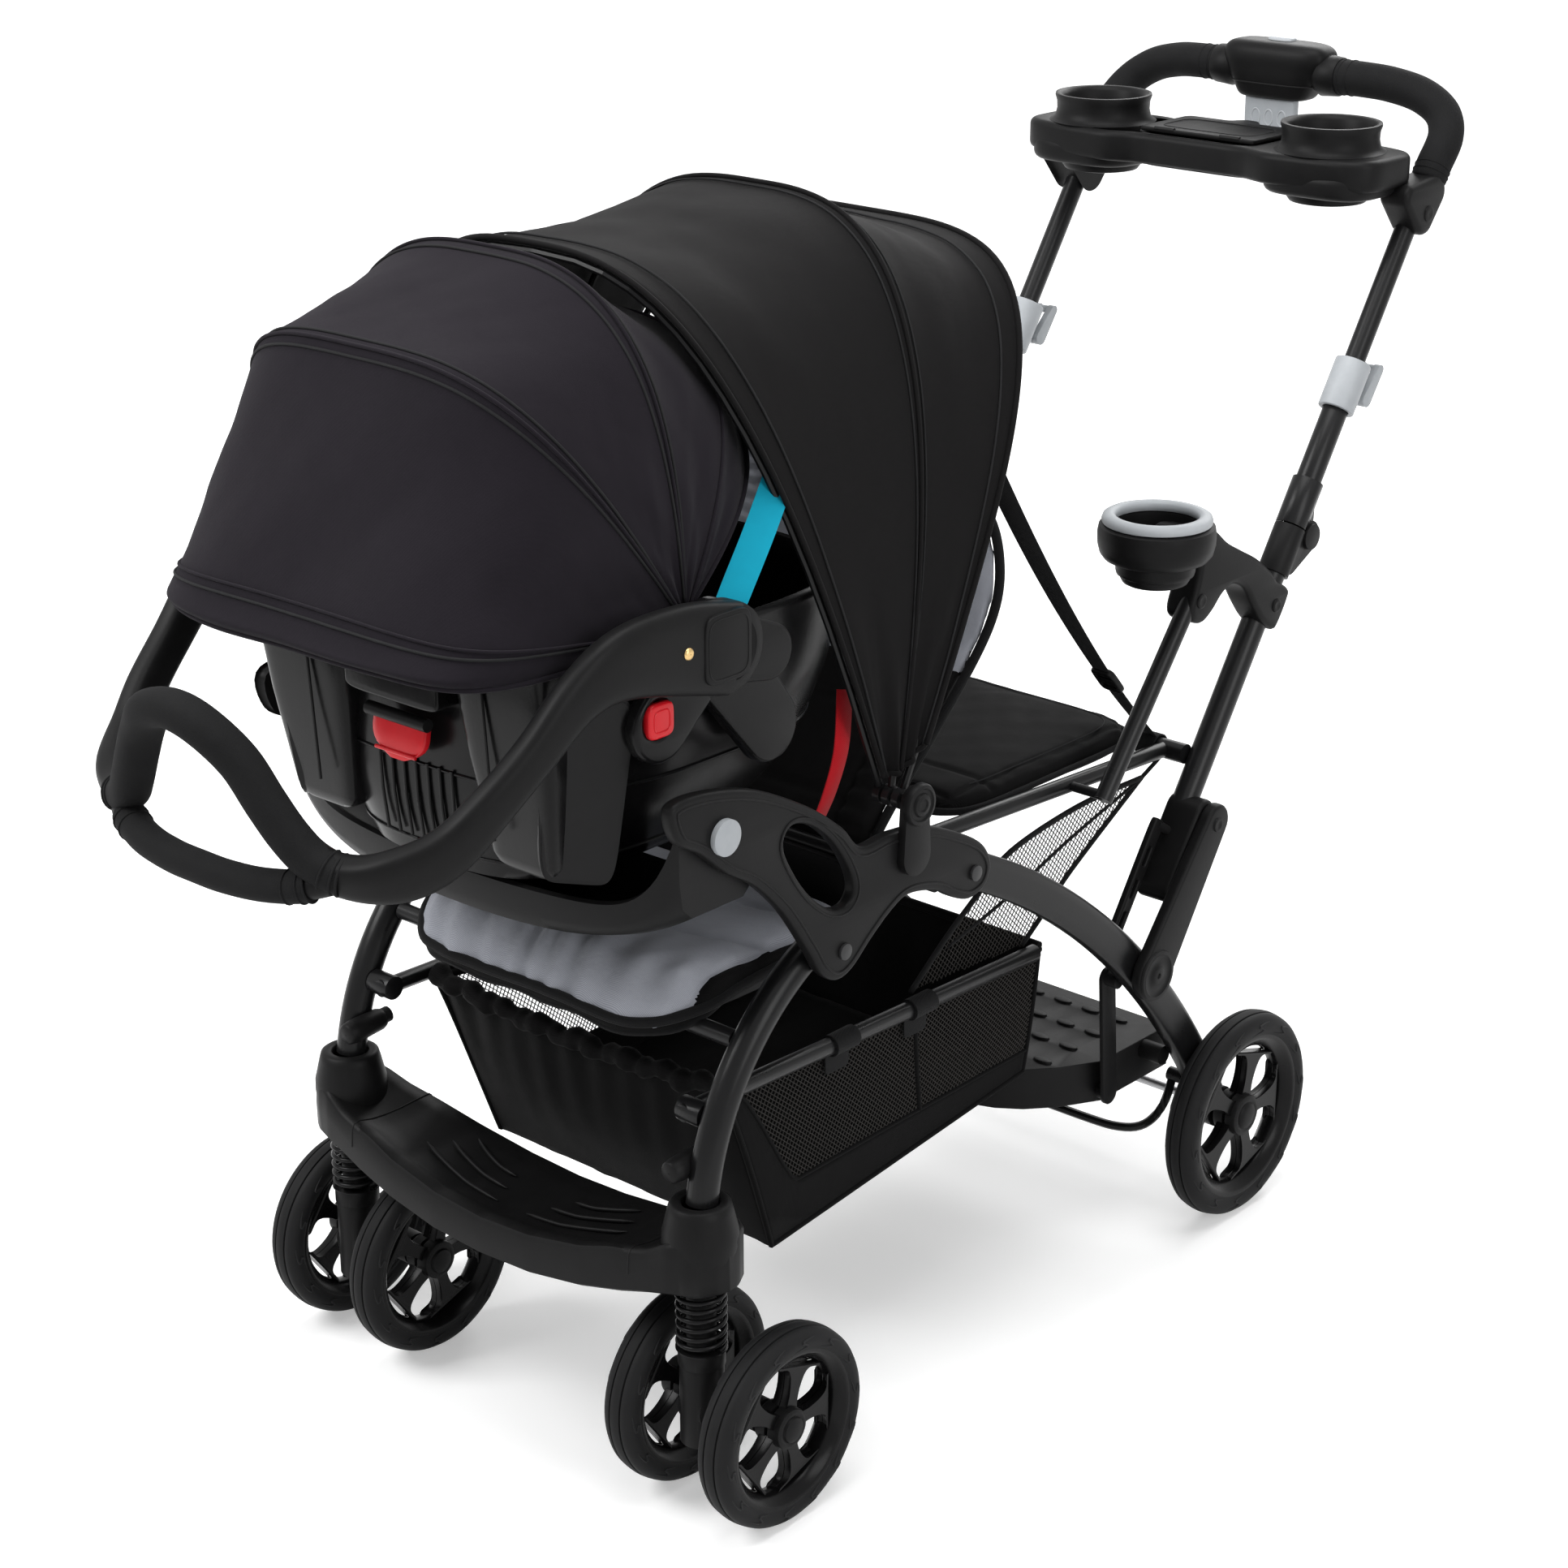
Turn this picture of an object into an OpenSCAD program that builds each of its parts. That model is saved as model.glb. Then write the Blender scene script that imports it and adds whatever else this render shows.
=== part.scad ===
// Tandem stroller with a docked infant carrier.
// Millimetres, +Z up, front towards -Y, left side towards +X, wheels standing on z = 0.

/* [Overall] */
// Reference length of the frame: every frame point is a share of it
frame_ref = 1000; // [960:5:1040]

/* [Wheels] */
// Diameter of the front wheels
front_wheel_d = 185; // [178:1:190]
// Width of the front tyres
front_wheel_w = 37; // [30:1:40]
// Diameter of the rear wheels
rear_wheel_d = 217; // [205:1:225]
// Width of the rear tyres
rear_wheel_w = 35; // [30:1:38]
// Distance between the two wheels of a caster
twin_w = 111; // [106:1:118]
// Diameter of the steel axles
axle_d = 10; // [8:0.5:11]
// Number of spokes in each wheel
spoke_n = 5; // [4:1:6]

/* [Suspension] */
// Outer diameter of the caster springs
spring_d = 46; // [42:1:50]
// Wire diameter of the caster springs
spring_wire = 4.6; // [4:0.1:5]
// Turns in each caster spring
spring_turns = 7; // [6:1:8]
// Diameter of the sliding struts
strut_d = 26; // [22:1:28]

/* [Frame] */
// Diameter of the front leg tubes
leg_d = 28; // [24:1:30]
// Thickness of the rear legs, side to side
rear_leg_t = 22; // [18:1:24]
// Depth of the rear legs
rear_leg_h = 36; // [28:1:40]
// Thickness of the side plates
plate_t = 14; // [10:1:18]
// Diameter of the seat and basket rails
rail_d = 16; // [12:1:18]
// Diameter of the handle tubes
handle_d = 26; // [22:1:27]
// Wall of the handle tubes
tube_wall = 1.8; // [1.4:0.1:2.2]
// Diameter of the foam grips
grip_d = 36; // [32:1:40]

/* [Seats] */
// Width of the front seat pad
pad_w = 372; // [340:2:380]
// Thickness of the seat pads
pad_t = 30; // [24:1:34]
// Thickness of the backrest
back_t = 24; // [18:1:28]

/* [Canopies] */
// Diameter of the canopy bows
bow_d = 7; // [5:0.5:8]
// Thickness of the canopy fabric with its lining
fabric_t = 3; // [2:0.5:4]

/* [Trays] */
// Inner diameter of the cups
cup_d = 78; // [70:1:82]
// Depth of the cups
cup_depth = 50; // [40:1:54]
// Wall of the trays and cups
tray_wall = 4; // [3:0.5:5]

/* [Carrier] */
// Wall of the carrier shell
shell_t = 9; // [7:0.5:12]
// Diameter of the carrier handle
carry_d = 32; // [26:1:34]

/* [Fits] */
// Clearance of parts that move on each other
run_gap = 0.5; // [0.4:0.1:0.7]
// Clearance of parts that sit on each other
fit_gap = 0.1; // [0.05:0.05:0.2]

/* [Hidden] */
$fn = 48;

black = [0.09, 0.09, 0.10];
rubber = [0.13, 0.13, 0.14];
satin = [0.15, 0.15, 0.16];
grey = [0.62, 0.63, 0.65];
steel = [0.72, 0.72, 0.74];
cloth = [0.12, 0.12, 0.13];
quilt = [0.55, 0.57, 0.62];
red = [0.80, 0.08, 0.09];

function at(s) = s * frame_ref;
function unit(v) = v / norm(v);
function turn(v, a) = [v.x * cos(a) - v.y * sin(a), v.x * sin(a) + v.y * cos(a)];
function mix(a, b, t) = a + (b - a) * t;
function sgn(v) = v < 0 ? -1 : 1;

// Smooth curve through the points p, with k steps from each point to the next
function blend4(a, b, c, d, t) =
    0.5 * (2 * b + (c - a) * t + (2 * a - 5 * b + 4 * c - d) * t * t + (3 * b - a - 3 * c + d) * t * t * t);
function smooth(p, k) = let (n = len(p) - 1) concat(
    [for (i = [0:n - 1], j = [0:k - 1])
        blend4(p[max(i - 1, 0)], p[i], p[i + 1], p[min(i + 2, n)], j / k)],
    [p[n]]);

// Closed round or squared profile: power 2 is an ellipse, more is squarer
function profile(w, h, power, sides) = [for (i = [0:sides - 1]) let (a = 360 * (i + 0.5) / sides)
    [w / 2 * sgn(cos(a)) * pow(abs(cos(a)), 2 / power), h / 2 * sgn(sin(a)) * pow(abs(sin(a)), 2 / power)]];

// Rings of a profile carried along a path; ups holds one up direction for each point
function rings_along(path, prof, ups) = let (n = len(path) - 1) [for (i = [0:n])
    let (t = unit(path[min(i + 1, n)] - path[max(i - 1, 0)]),
         s = unit(cross(t, ups[i])),
         u = cross(s, t))
    [for (q = prof) path[i] + q.x * s + q.y * u]];
function same_up(path, up) = [for (p = path) up];

// Half path from one side to the middle, continued to the other side
function mirrored(half) = concat(half, [for (i = [len(half) - 2:-1:0]) [-half[i].x, half[i].y, half[i].z]]);

// Solid through rings of points, closed at its first and last ring. A thin bent ring is closed as a strip
// between its two halves.
module loft(rings, strip = false) {
    n = len(rings[0]);
    m = len(rings);
    last = (m - 1) * n;
    sides = [for (i = [0:m - 2], j = [0:n - 1]) let (k = (j + 1) % n, a = i * n, b = a + n)
        each [[a + j, a + k, b + k], [a + j, b + k, b + j]]];
    strips = [for (j = [0:n / 2 - 2]) let (k = n - 1 - j) each [
        [j, k - 1, j + 1], [j, k, k - 1],
        [last + j, last + j + 1, last + k - 1], [last + j, last + k - 1, last + k]]];
    caps = [[for (j = [n - 1:-1:0]) j], [for (j = [0:n - 1]) last + j]];
    polyhedron([for (r = rings) each r], concat(sides, strip ? strips : caps), convexity = 8);
}

module sweep(path, prof, up) {
    loft(rings_along(path, prof, same_up(path, up)));
}

// Hollow tube along a path
module hollow_sweep(path, outer, inner, up) {
    out = rings_along(path, outer, same_up(path, up));
    bore = rings_along(path, inner, same_up(path, up));
    m = len(path) - 1;
    back = [for (i = [m:-1:0]) bore[i]];
    rings = concat(out, back);
    n = len(outer);
    total = len(rings);
    faces = [for (i = [0:total - 1], j = [0:n - 1])
        let (k = (j + 1) % n, a = i * n, b = ((i + 1) % total) * n)
        each [[a + j, a + k, b + k], [a + j, b + k, b + j]]];
    polyhedron([for (r = rings) each r], faces, convexity = 8);
}

module pair() {
    children();
    mirror([1, 0, 0]) children();
}

// Round bar along X at the height and depth c
module bar_x(c, x0, x1, d) {
    translate([x0, c.x, c.y]) rotate([0, 90, 0]) cylinder(d = d, h = x1 - x0);
}

// Plate across X, cut to the YZ outline of its children
module slab_x(x0, t) {
    translate([x0, 0, 0]) rotate([90, 0, 90]) linear_extrude(t) children();
}

// Straight round bar between two points
module rod(p, q, d) {
    v = q - p;
    translate(p) rotate([0, acos(v.z / norm(v)), atan2(v.y, v.x)]) cylinder(d = d, h = norm(v));
}

// Flat link with round ends
module link2d(p, q, r1, r2) {
    u = unit(q - p);
    a = acos((r1 - r2) / norm(q - p));
    translate(p) circle(r1);
    translate(q) circle(r2);
    polygon([p + r1 * turn(u, a), p + r1 * turn(u, -a), q + r2 * turn(u, -a), q + r2 * turn(u, a)]);
}

// Casters
stem_x = at(0.222);
front_axle_y = at(-0.366);
stem_y = at(-0.405);
hub_z = front_wheel_d / 2;
tyre_share = 0.22;
rim_share = 0.09;
hub_share = 0.17;
spoke_root_share = 0.16;
spoke_tip_share = 0.34;
fork_d = 1.5 * strut_d;
fork_top = hub_z + 0.62 * hub_z;
fork_low = hub_z - 0.2 * hub_z;
collar_h = 0.55 * strut_d;
collar_z = fork_top + run_gap;
spring_low = collar_z + collar_h;
housing_low = at(0.229);
housing_top = at(0.306);
housing_d = 2.15 * leg_d;
strut_top = housing_low + 0.6 * (housing_top - housing_low);
kingpin_d = 1.2 * axle_d;
boss_w = twin_w - front_wheel_w - 4 * run_gap;

module tyre2d(d, w) {
    r = d / 2;
    inner = r - tyre_share * r;
    crown = 0.42 * w;
    steps = 6;
    polygon(concat(
        [[inner, -0.38 * w], [r - crown, -w / 2]],
        [for (i = [1:steps - 1]) let (a = 180 * i / steps - 90)
            [r - crown + crown * pow(cos(a), 0.8), w / 2 * sin(a)]],
        [[r - crown, w / 2], [inner, 0.38 * w]]));
}

// Spoked wheel on the X axis, its closed hub cap towards +X
module wheel(d, w) {
    r = d / 2;
    rim_out = r - tyre_share * r - fit_gap;
    rim_in = rim_out - rim_share * r;
    hub_r = hub_share * r;
    rotate([0, 90, 0]) {
        color(rubber) rotate_extrude() tyre2d(d, w);
        color(black) difference() {
            union() {
                rotate_extrude() translate([rim_in, -0.36 * w]) square([rim_out - rim_in, 0.72 * w]);
                cylinder(r = hub_r, h = w, center = true);
                for (i = [0:spoke_n - 1]) rotate(360 * i / spoke_n) linear_extrude(0.3 * w, center = true)
                    polygon([[hub_r / 2, -spoke_root_share * r / 2],
                        [rim_in + fit_gap, -spoke_tip_share * r / 2],
                        [rim_in + fit_gap, spoke_tip_share * r / 2],
                        [hub_r / 2, spoke_root_share * r / 2]]);
            }
            translate([0, 0, -w]) cylinder(d = axle_d + 2 * run_gap, h = 1.4 * w);
        }
    }
}

module front_wheel(side, offset_side) {
    translate([side * stem_x + offset_side * twin_w / 2, front_axle_y, hub_z])
        rotate([0, 0, offset_side > 0 ? 0 : 180]) wheel(front_wheel_d, front_wheel_w);
}

module front_wheel_left_outer() { front_wheel(1, 1); }
module front_wheel_left_inner() { front_wheel(1, -1); }
module front_wheel_right_inner() { front_wheel(-1, 1); }
module front_wheel_right_outer() { front_wheel(-1, -1); }

// Fork with its kingpin and the axle of both wheels
module fork(side) {
    axle = [front_axle_y - stem_y, hub_z];
    axle_l = twin_w + 0.7 * front_wheel_w;
    kingpin_top = spring_low + collar_h / 2;
    translate([side * stem_x, stem_y, 0]) {
        color(black) difference() {
            union() {
                translate([0, 0, fork_low]) cylinder(d = fork_d, h = fork_top - fork_low);
                slab_x(-fork_d / 3, 2 * fork_d / 3)
                    link2d([0, hub_z + hub_z / 6], axle, 0.44 * fork_d, fork_d / 3);
                bar_x(axle, -boss_w / 2, boss_w / 2, 0.8 * fork_d);
                translate([0, 0, fork_top]) cylinder(d = kingpin_d, h = kingpin_top - fork_top);
            }
            bar_x(axle, -boss_w, boss_w, axle_d + 2 * fit_gap);
        }
        color(steel) bar_x(axle, -axle_l / 2, axle_l / 2, axle_d);
    }
}

module fork_left() { fork(1); }
module fork_right() { fork(-1); }

// Strut that slides in the footrest housing and turns the fork below it
module strut(side) {
    translate([side * stem_x, stem_y, 0]) color(black) difference() {
        union() {
            translate([0, 0, collar_z]) cylinder(d = 1.6 * strut_d, h = collar_h);
            translate([0, 0, collar_z]) cylinder(d = strut_d, h = strut_top - collar_z);
        }
        translate([0, 0, fork_low])
            cylinder(d = kingpin_d + 2 * run_gap, h = spring_low + collar_h - fork_low);
    }
}

module strut_left() { strut(1); }
module strut_right() { strut(-1); }

// Coil spring around the strut, each end straight for one wire diameter
spring_r = (spring_d - spring_wire) / 2;
coil_steps = 8;
coil_low = spring_low + fit_gap + spring_wire;
coil_high = housing_low - fit_gap - spring_wire;
coil = [for (i = [0:coil_steps * spring_turns]) let (a = 360 * i / coil_steps)
    [spring_r * cos(a), spring_r * sin(a), mix(coil_low, coil_high, i / coil_steps / spring_turns)]];
spring_path = concat(
    [[coil[0].x, coil[0].y, spring_low + fit_gap]],
    coil,
    [[coil[len(coil) - 1].x, coil[len(coil) - 1].y, housing_low - fit_gap]]);
spring_ups = [for (p = spring_path) [p.x, p.y, 0] / spring_r];
spring_self_gap = min([for (i = [0:len(coil) - 1], j = [0:len(coil) - 1])
    if (j - i > coil_steps / 2) norm(coil[j] - coil[i])]) - spring_wire;
echo(least_gap_between_spring_turns = spring_self_gap);

module spring(side) {
    translate([side * stem_x, stem_y, 0]) color(black)
        loft(rings_along(spring_path, profile(spring_wire, spring_wire, 2, 6), spring_ups));
}

module spring_left() { spring(1); }
module spring_right() { spring(-1); }

// Front frame
leg_r = at(0.245);
leg_turn_z = at(0.270);
leg_x = stem_x;
leg_low_angle = 7.6;
leg_high_angle = 66;
leg_end_z = leg_turn_z + (leg_r - leg_d / 2) * sin(leg_low_angle) - fit_gap;
plate_x = leg_x + leg_d / 2 + fit_gap;
rear_pivot = at([-0.075, 0.510]);
front_bolt = at([-0.253, 0.493]);
bolt_d = 8;
tray_button_at = at([-0.403, 0.643]);
tray_button_d = at(0.031);
tray_button_proud = at(0.005);
plate_shares = [[-0.462, 0.682], [-0.428, 0.686], [-0.364, 0.671], [-0.300, 0.639], [-0.255, 0.607],
    [-0.229, 0.581], [-0.190, 0.581], [-0.143, 0.574], [-0.094, 0.553], [-0.062, 0.533],
    [-0.050, 0.511], [-0.058, 0.492],
    [-0.080, 0.486], [-0.104, 0.495], [-0.128, 0.509], [-0.165, 0.517], [-0.189, 0.509], [-0.215, 0.492],
    [-0.241, 0.472], [-0.262, 0.468], [-0.281, 0.481], [-0.296, 0.505], [-0.328, 0.551], [-0.364, 0.587],
    [-0.397, 0.608], [-0.429, 0.635], [-0.455, 0.652]];
window_shares = [[-0.322, 0.613], [-0.314, 0.628], [-0.281, 0.618], [-0.250, 0.589], [-0.238, 0.561],
    [-0.244, 0.552], [-0.263, 0.557], [-0.298, 0.580]];

// Leg tubes and the two cross bars under the front seat
front_bar = at([-0.345, 0.430]);
rear_bar = at([-0.112, 0.507]);
module front_frame() {
    bar_end = leg_x - leg_d / 2 - fit_gap;
    color(satin) {
        pair() translate([leg_x, stem_y + leg_r, leg_turn_z]) rotate([90, 0, 90])
            rotate([0, 0, 180 - leg_high_angle]) rotate_extrude(angle = leg_high_angle - leg_low_angle)
                translate([leg_r, 0]) circle(d = leg_d);
        bar_x(front_bar, -bar_end, bar_end, rail_d);
        bar_x(rear_bar, -plate_x + fit_gap, plate_x - fit_gap, rail_d);
    }
}

module side_plates() {
    color(black) pair() difference() {
        slab_x(plate_x, plate_t) difference() {
            polygon(at(plate_shares));
            polygon(at(window_shares));
        }
        for (c = [front_bolt, rear_pivot]) bar_x(c, leg_x, plate_x + 2 * plate_t, bolt_d + 2 * fit_gap);
        bar_x(tray_button_at, plate_x + plate_t / 3, plate_x + 2 * plate_t, tray_button_d + 2 * run_gap);
    }
}

// Front bolts through the plates, and the pins that the rear legs turn on
pin_inner_x = leg_x - rear_leg_t / 2 - run_gap;
module frame_bolts() {
    head_x = plate_x + plate_t + fit_gap;
    color(steel) pair() {
        bar_x(front_bolt, plate_x + fit_gap, head_x, bolt_d);
        bar_x(front_bolt, head_x, head_x + bolt_d / 3, 1.8 * bolt_d);
        bar_x(rear_pivot, pin_inner_x, head_x, bolt_d);
        bar_x(rear_pivot, head_x, head_x + bolt_d / 3, 1.8 * bolt_d);
    }
}

// Seat board, with a flange up to the rear cross bar
deck_t = 8;
deck_top = front_bar.y + rail_d / 2 + fit_gap + deck_t;
deck_front = at(-0.372);
deck_back = rear_bar.x - rail_d / 2 - fit_gap;
module seat_deck() {
    deck_w = 0.9 * pad_w;
    low = deck_top - deck_t;
    color(black) slab_x(-deck_w / 2, deck_w) polygon([[deck_front, low], [deck_back, low],
        [deck_back, rear_bar.y], [deck_back - deck_t, rear_bar.y], [deck_back - deck_t, deck_top],
        [deck_front, deck_top]]);
}

// Seat pad: crowned top with sewn channels, drawn in sides and a bowed front edge
pad_front = at(-0.392);
pad_back = at(-0.132);
pad_cells = 24;
pad_rows = 12;
pad_front_bow = at(0.062);
pad_back_bow = at(0.006);
pad_hollow = 0.012 * pad_t;
function pad_front_at(u) = mix(pad_front, pad_front + pad_front_bow, pow(abs(u), 2.4));
function pad_top_at(u, v) =
    pad_t * (0.5 + 0.08 * (1 - pow(2 * v - 1, 2)) + 0.42 * (1 - pow(abs(u), 3)) * (1 - pow(2 * v - 1, 4)))
    - 0.16 * pad_t * (1 - u * u) * pow(abs(sin(180 * 3 * (v + 0.12 * u * u))), 6);
// Cushion of the width w on the height base; its front and rear edges follow the share u of its width
module cushion(w, base, cells, front_at, rear_at) {
    section = function (u) let (
        x = w / 2 * u,
        low = base + pad_hollow * (1 - u * u))
        concat(
            [for (j = [0:pad_rows]) let (v = j / pad_rows)
                [x, mix(front_at(u), rear_at(u), v), base + pad_top_at(u, v)]],
            [[x, rear_at(u), low], [x, front_at(u), low]]);
    loft([for (i = [0:cells]) section(2 * i / cells - 1)]);
}

module front_seat_pad() {
    base = deck_top + fit_gap;
    color(quilt) cushion(pad_w, base, pad_cells, function (u) pad_front_at(u),
        function (u) pad_back - pad_back_bow * u * u);
}

// Backrest: a rounded quilted panel that leans back and sags to the rear, hinged at its foot
back_hinge = at([-0.099, 0.4815]);
back_head = at([0.029, 0.8715]);
back_w = at(0.316);
back_sag = at(0.076);
back_sag_from = 0.09;
back_cells = 20;
back_rows = 10;
module backrest() {
    v = unit(back_head - back_hinge);
    n = [v.y, -v.x];
    half = function (t) back_w / 2
        * (t < 0.75 ? 0.9 + 0.1 * t / 0.75 : sqrt(1 - 0.7 * pow((t - 0.75) / 0.25, 2)));
    face = function (u, t) back_t
        * (0.5 * (1 - 0.6 * pow(abs(u), 4)) - 0.12 * pow(abs(sin(180 * 4 * t)), 10));
    ring = function (t) let (
        w = half(t),
        sag = back_sag * pow(sin(180 * max(0, t - back_sag_from) / (1 - back_sag_from)), 1.2),
        c = mix(back_hinge, back_head, t) + [sag, 0]) concat(
        [for (j = [0:back_rows]) let (u = 1 - 2 * j / back_rows, d = -face(u, t))
            [w * u, c.x + n.x * d, c.y + n.y * d]],
        [for (u = [-1, 0, 1]) let (d = back_t * (0.3 + 0.04 * (1 - abs(u))))
            [w * u, c.x + n.x * d, c.y + n.y * d]]);
    color(quilt) loft([for (i = [0:back_cells]) ring(i / back_cells)]);
}

// Basket rails with the clips that hold them to the front legs
rail_x = at(0.190);
rail_front = at([-0.392, 0.372]);
rail_rear = at([0.097, 0.358]);
clip_at = at([-0.382, 0.3717]);
module basket_rails() {
    clip_end = leg_x - leg_d / 2 - fit_gap;
    color(satin) pair() {
        rod([rail_x, rail_front.x, rail_front.y], [rail_x, rail_rear.x, rail_rear.y], rail_d);
        bar_x(clip_at, rail_x - rail_d / 2, clip_end, 1.4 * rail_d);
    }
}

// Basket: an open tub of cloth that sags between its rails, with soft folds down its walls
basket_w = 2 * (rail_x - rail_d / 2 - 3 * fit_gap);
basket_front_shares = [-0.262, -0.335];
basket_rear_shares = [0.104, 0.118];
basket_low_shares = [0.182, 0.222];
basket_top_shares = [0.369, 0.356];
basket_steps = 48;
basket_folds = 6;
module basket() {
    loop = function (inset, lift, grow, wave) [for (i = [0:basket_steps - 1])
        let (q = profile(1, 1, 7, basket_steps)[i],
             fold = wave * abs(sin(180 * basket_folds * i / basket_steps)),
             front = at(mix(basket_front_shares[0], basket_front_shares[1], lift)) + inset,
             rear = at(mix(basket_rear_shares[0], basket_rear_shares[1], lift)) - inset,
             along = q.y + 0.5,
             low = at(mix(basket_low_shares[0], basket_low_shares[1], along)),
             top = at(mix(basket_top_shares[0], basket_top_shares[1], along)))
        [q.x * (basket_w * grow - 2 * inset - 2 * fold), mix(front, rear, along), mix(low, top, lift)]];
    floor_share = fabric_t / at(basket_top_shares[0] - basket_low_shares[0]);
    fold_d = 2 * fabric_t;
    color(cloth) loft([loop(fabric_t, floor_share, 0.9, 0), loop(fabric_t, 0.3, 0.96, fold_d),
        loop(fabric_t, 0.7, 0.985, fold_d / 2), loop(fabric_t, 1, 1, 0), loop(0, 1, 1, 0),
        loop(0, 0.7, 0.985, fold_d / 2), loop(0, 0.3, 0.96, fold_d), loop(0, 0, 0.9, 0)]);
}

// Footrest between the caster housings: a curved tread with a raised front lip
foot_front = at(-0.456);
foot_front_end = at(-0.432);
foot_back = at(-0.345);
foot_back_end = at(-0.378);
foot_top_mid = at(0.222);
foot_top_end = at(0.268);
foot_skirt = at(0.030);
foot_lip = at(0.008);
foot_cells = 20;
module footrest() {
    end_x = stem_x - housing_d / 2 - fit_gap;
    section = function (u) let (
        k = u * u,
        f = mix(foot_front, foot_front_end, k),
        b = mix(foot_back, foot_back_end, k),
        top = mix(foot_top_mid, foot_top_end, k),
        d = b - f) [
        [u * end_x, f, top - foot_skirt], [u * end_x, f + 0.1 * d, top - foot_skirt],
        [u * end_x, f + 0.14 * d, top - foot_lip], [u * end_x, mix(f, b, 0.6), top - foot_lip],
        [u * end_x, b, top - foot_lip], [u * end_x, b, top], [u * end_x, mix(f, b, 0.6), top - foot_lip / 4],
        [u * end_x, mix(f, b, 0.25), top],
        [u * end_x, mix(f, b, 0.1), top + foot_lip], [u * end_x, f, top + foot_lip / 2]];
    color(black) {
        loft([for (i = [foot_cells:-1:0]) section(2 * i / foot_cells - 1)], strip = true);
        pair() translate([stem_x, stem_y, 0]) difference() {
            translate([0, 0, housing_low]) cylinder(d = housing_d, h = housing_top - housing_low);
            translate([0, 0, fork_low])
                cylinder(d = strut_d + 2 * run_gap, h = strut_top + 2 * bolt_d - fork_low);
            translate([0, 0, leg_end_z]) cylinder(d = 1.3 * leg_d, h = housing_top);
        }
    }
}

// Child tray: a crescent bowl between the side plates
tray_front = at(-0.478);
tray_front_end = at(-0.440);
tray_back = at(-0.350);
tray_low = at(0.536);
tray_low_end = at(0.575);
tray_rim = at(0.5774);
tray_rim_end = at(0.662);
tray_cells = 24;
module child_tray() {
    end_x = plate_x - fit_gap;
    section = function (u) let (
        k = pow(abs(u), 4),
        f = mix(tray_front, tray_front_end, u * u),
        b = tray_back,
        low = mix(tray_low, tray_low_end, k),
        rim = mix(tray_rim, tray_rim_end, pow(abs(u), 10)),
        dish = mix(low + tray_wall, rim - tray_wall, k),
        e = tray_wall / (b - f) * 2) [
        [u * end_x, mix(f, b, 0.16), low], [u * end_x, mix(f, b, 0.84), low],
        [u * end_x, b, mix(low, rim, 0.4)], [u * end_x, b, rim],
        [u * end_x, mix(b, f, e), rim], [u * end_x, mix(b, f, e + 0.1), dish],
        [u * end_x, mix(f, b, e + 0.1), dish], [u * end_x, mix(f, b, e), rim], [u * end_x, f, rim],
        [u * end_x, f, mix(low, rim, 0.4)]];
    color(black) loft([for (i = [tray_cells:-1:0]) section(2 * i / tray_cells - 1)]);
}

module tray_button(side) {
    x0 = plate_x + plate_t / 3 + tray_button_proud;
    color(grey) mirror([side < 0 ? 1 : 0, 0, 0])
        bar_x(tray_button_at, x0, plate_x + plate_t + tray_button_proud, tray_button_d);
}

module tray_button_left() { tray_button(1); }
module tray_button_right() { tray_button(-1); }

// Stroller canopy: three bows on a common pin, angles from vertical, positive to the rear
canopy_pin = at([-0.166, 0.604]);
bow_angles = [-21.8, 9, 27];
bow_half_shares = [0.217, 0.227, 0.238];
bow_reach_shares = [0.506, 0.488, 0.490];
bow_powers = [2.9, 3, 4];
bow_steps = 28;
bow_from = 0.004;
bow_eye_d = 18;
function arch(pin, angle, half, reach, power, s) =
    let (r = reach * pow(sin(s), 2 / power))
    [half * sgn(cos(s)) * pow(abs(cos(s)), 2 / power), pin.x + r * sin(angle), pin.y + r * cos(angle)];
function arch_path(pin, angle, half, reach, power, from, steps) =
    [for (i = [0:steps]) arch(pin, angle, half, reach, power, from + (180 - 2 * from) * i / steps)];

module bow(i) {
    half = at(bow_half_shares[i]);
    path = arch_path(canopy_pin, bow_angles[i], half, at(bow_reach_shares[i]), bow_powers[i], bow_from,
        bow_steps);
    plane_up = [0, cos(bow_angles[i]), -sin(bow_angles[i])];
    color(satin) {
        difference() {
            sweep(path, profile(bow_d, bow_d, 2, 8), plane_up);
            pair() bar_x(canopy_pin, half - bow_eye_d, half + bow_eye_d, bow_eye_d - bow_d);
        }
        pair() difference() {
            bar_x(canopy_pin, half - bow_d / 2, half + bow_d / 2, bow_eye_d);
            bar_x(canopy_pin, half - bow_d, half + bow_d, bolt_d + 2 * run_gap);
        }
    }
}

module canopy_front_bow() { bow(0); }
module canopy_mid_bow() { bow(1); }
module canopy_rear_bow() { bow(2); }

mount_x = plate_x + plate_t + fit_gap;
mount_t = 8;
mount_foot = at([-0.166, 0.556]);
mount_foot_r = at(0.018);
mount_eye_r = at(0.015);
module canopy_mounts() {
    color(black) pair() {
        slab_x(mount_x, mount_t) link2d(mount_foot, canopy_pin, mount_foot_r, mount_eye_r);
        bar_x(canopy_pin, at(bow_half_shares[0]) - bow_d, mount_x + fit_gap, bolt_d);
    }
}

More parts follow.
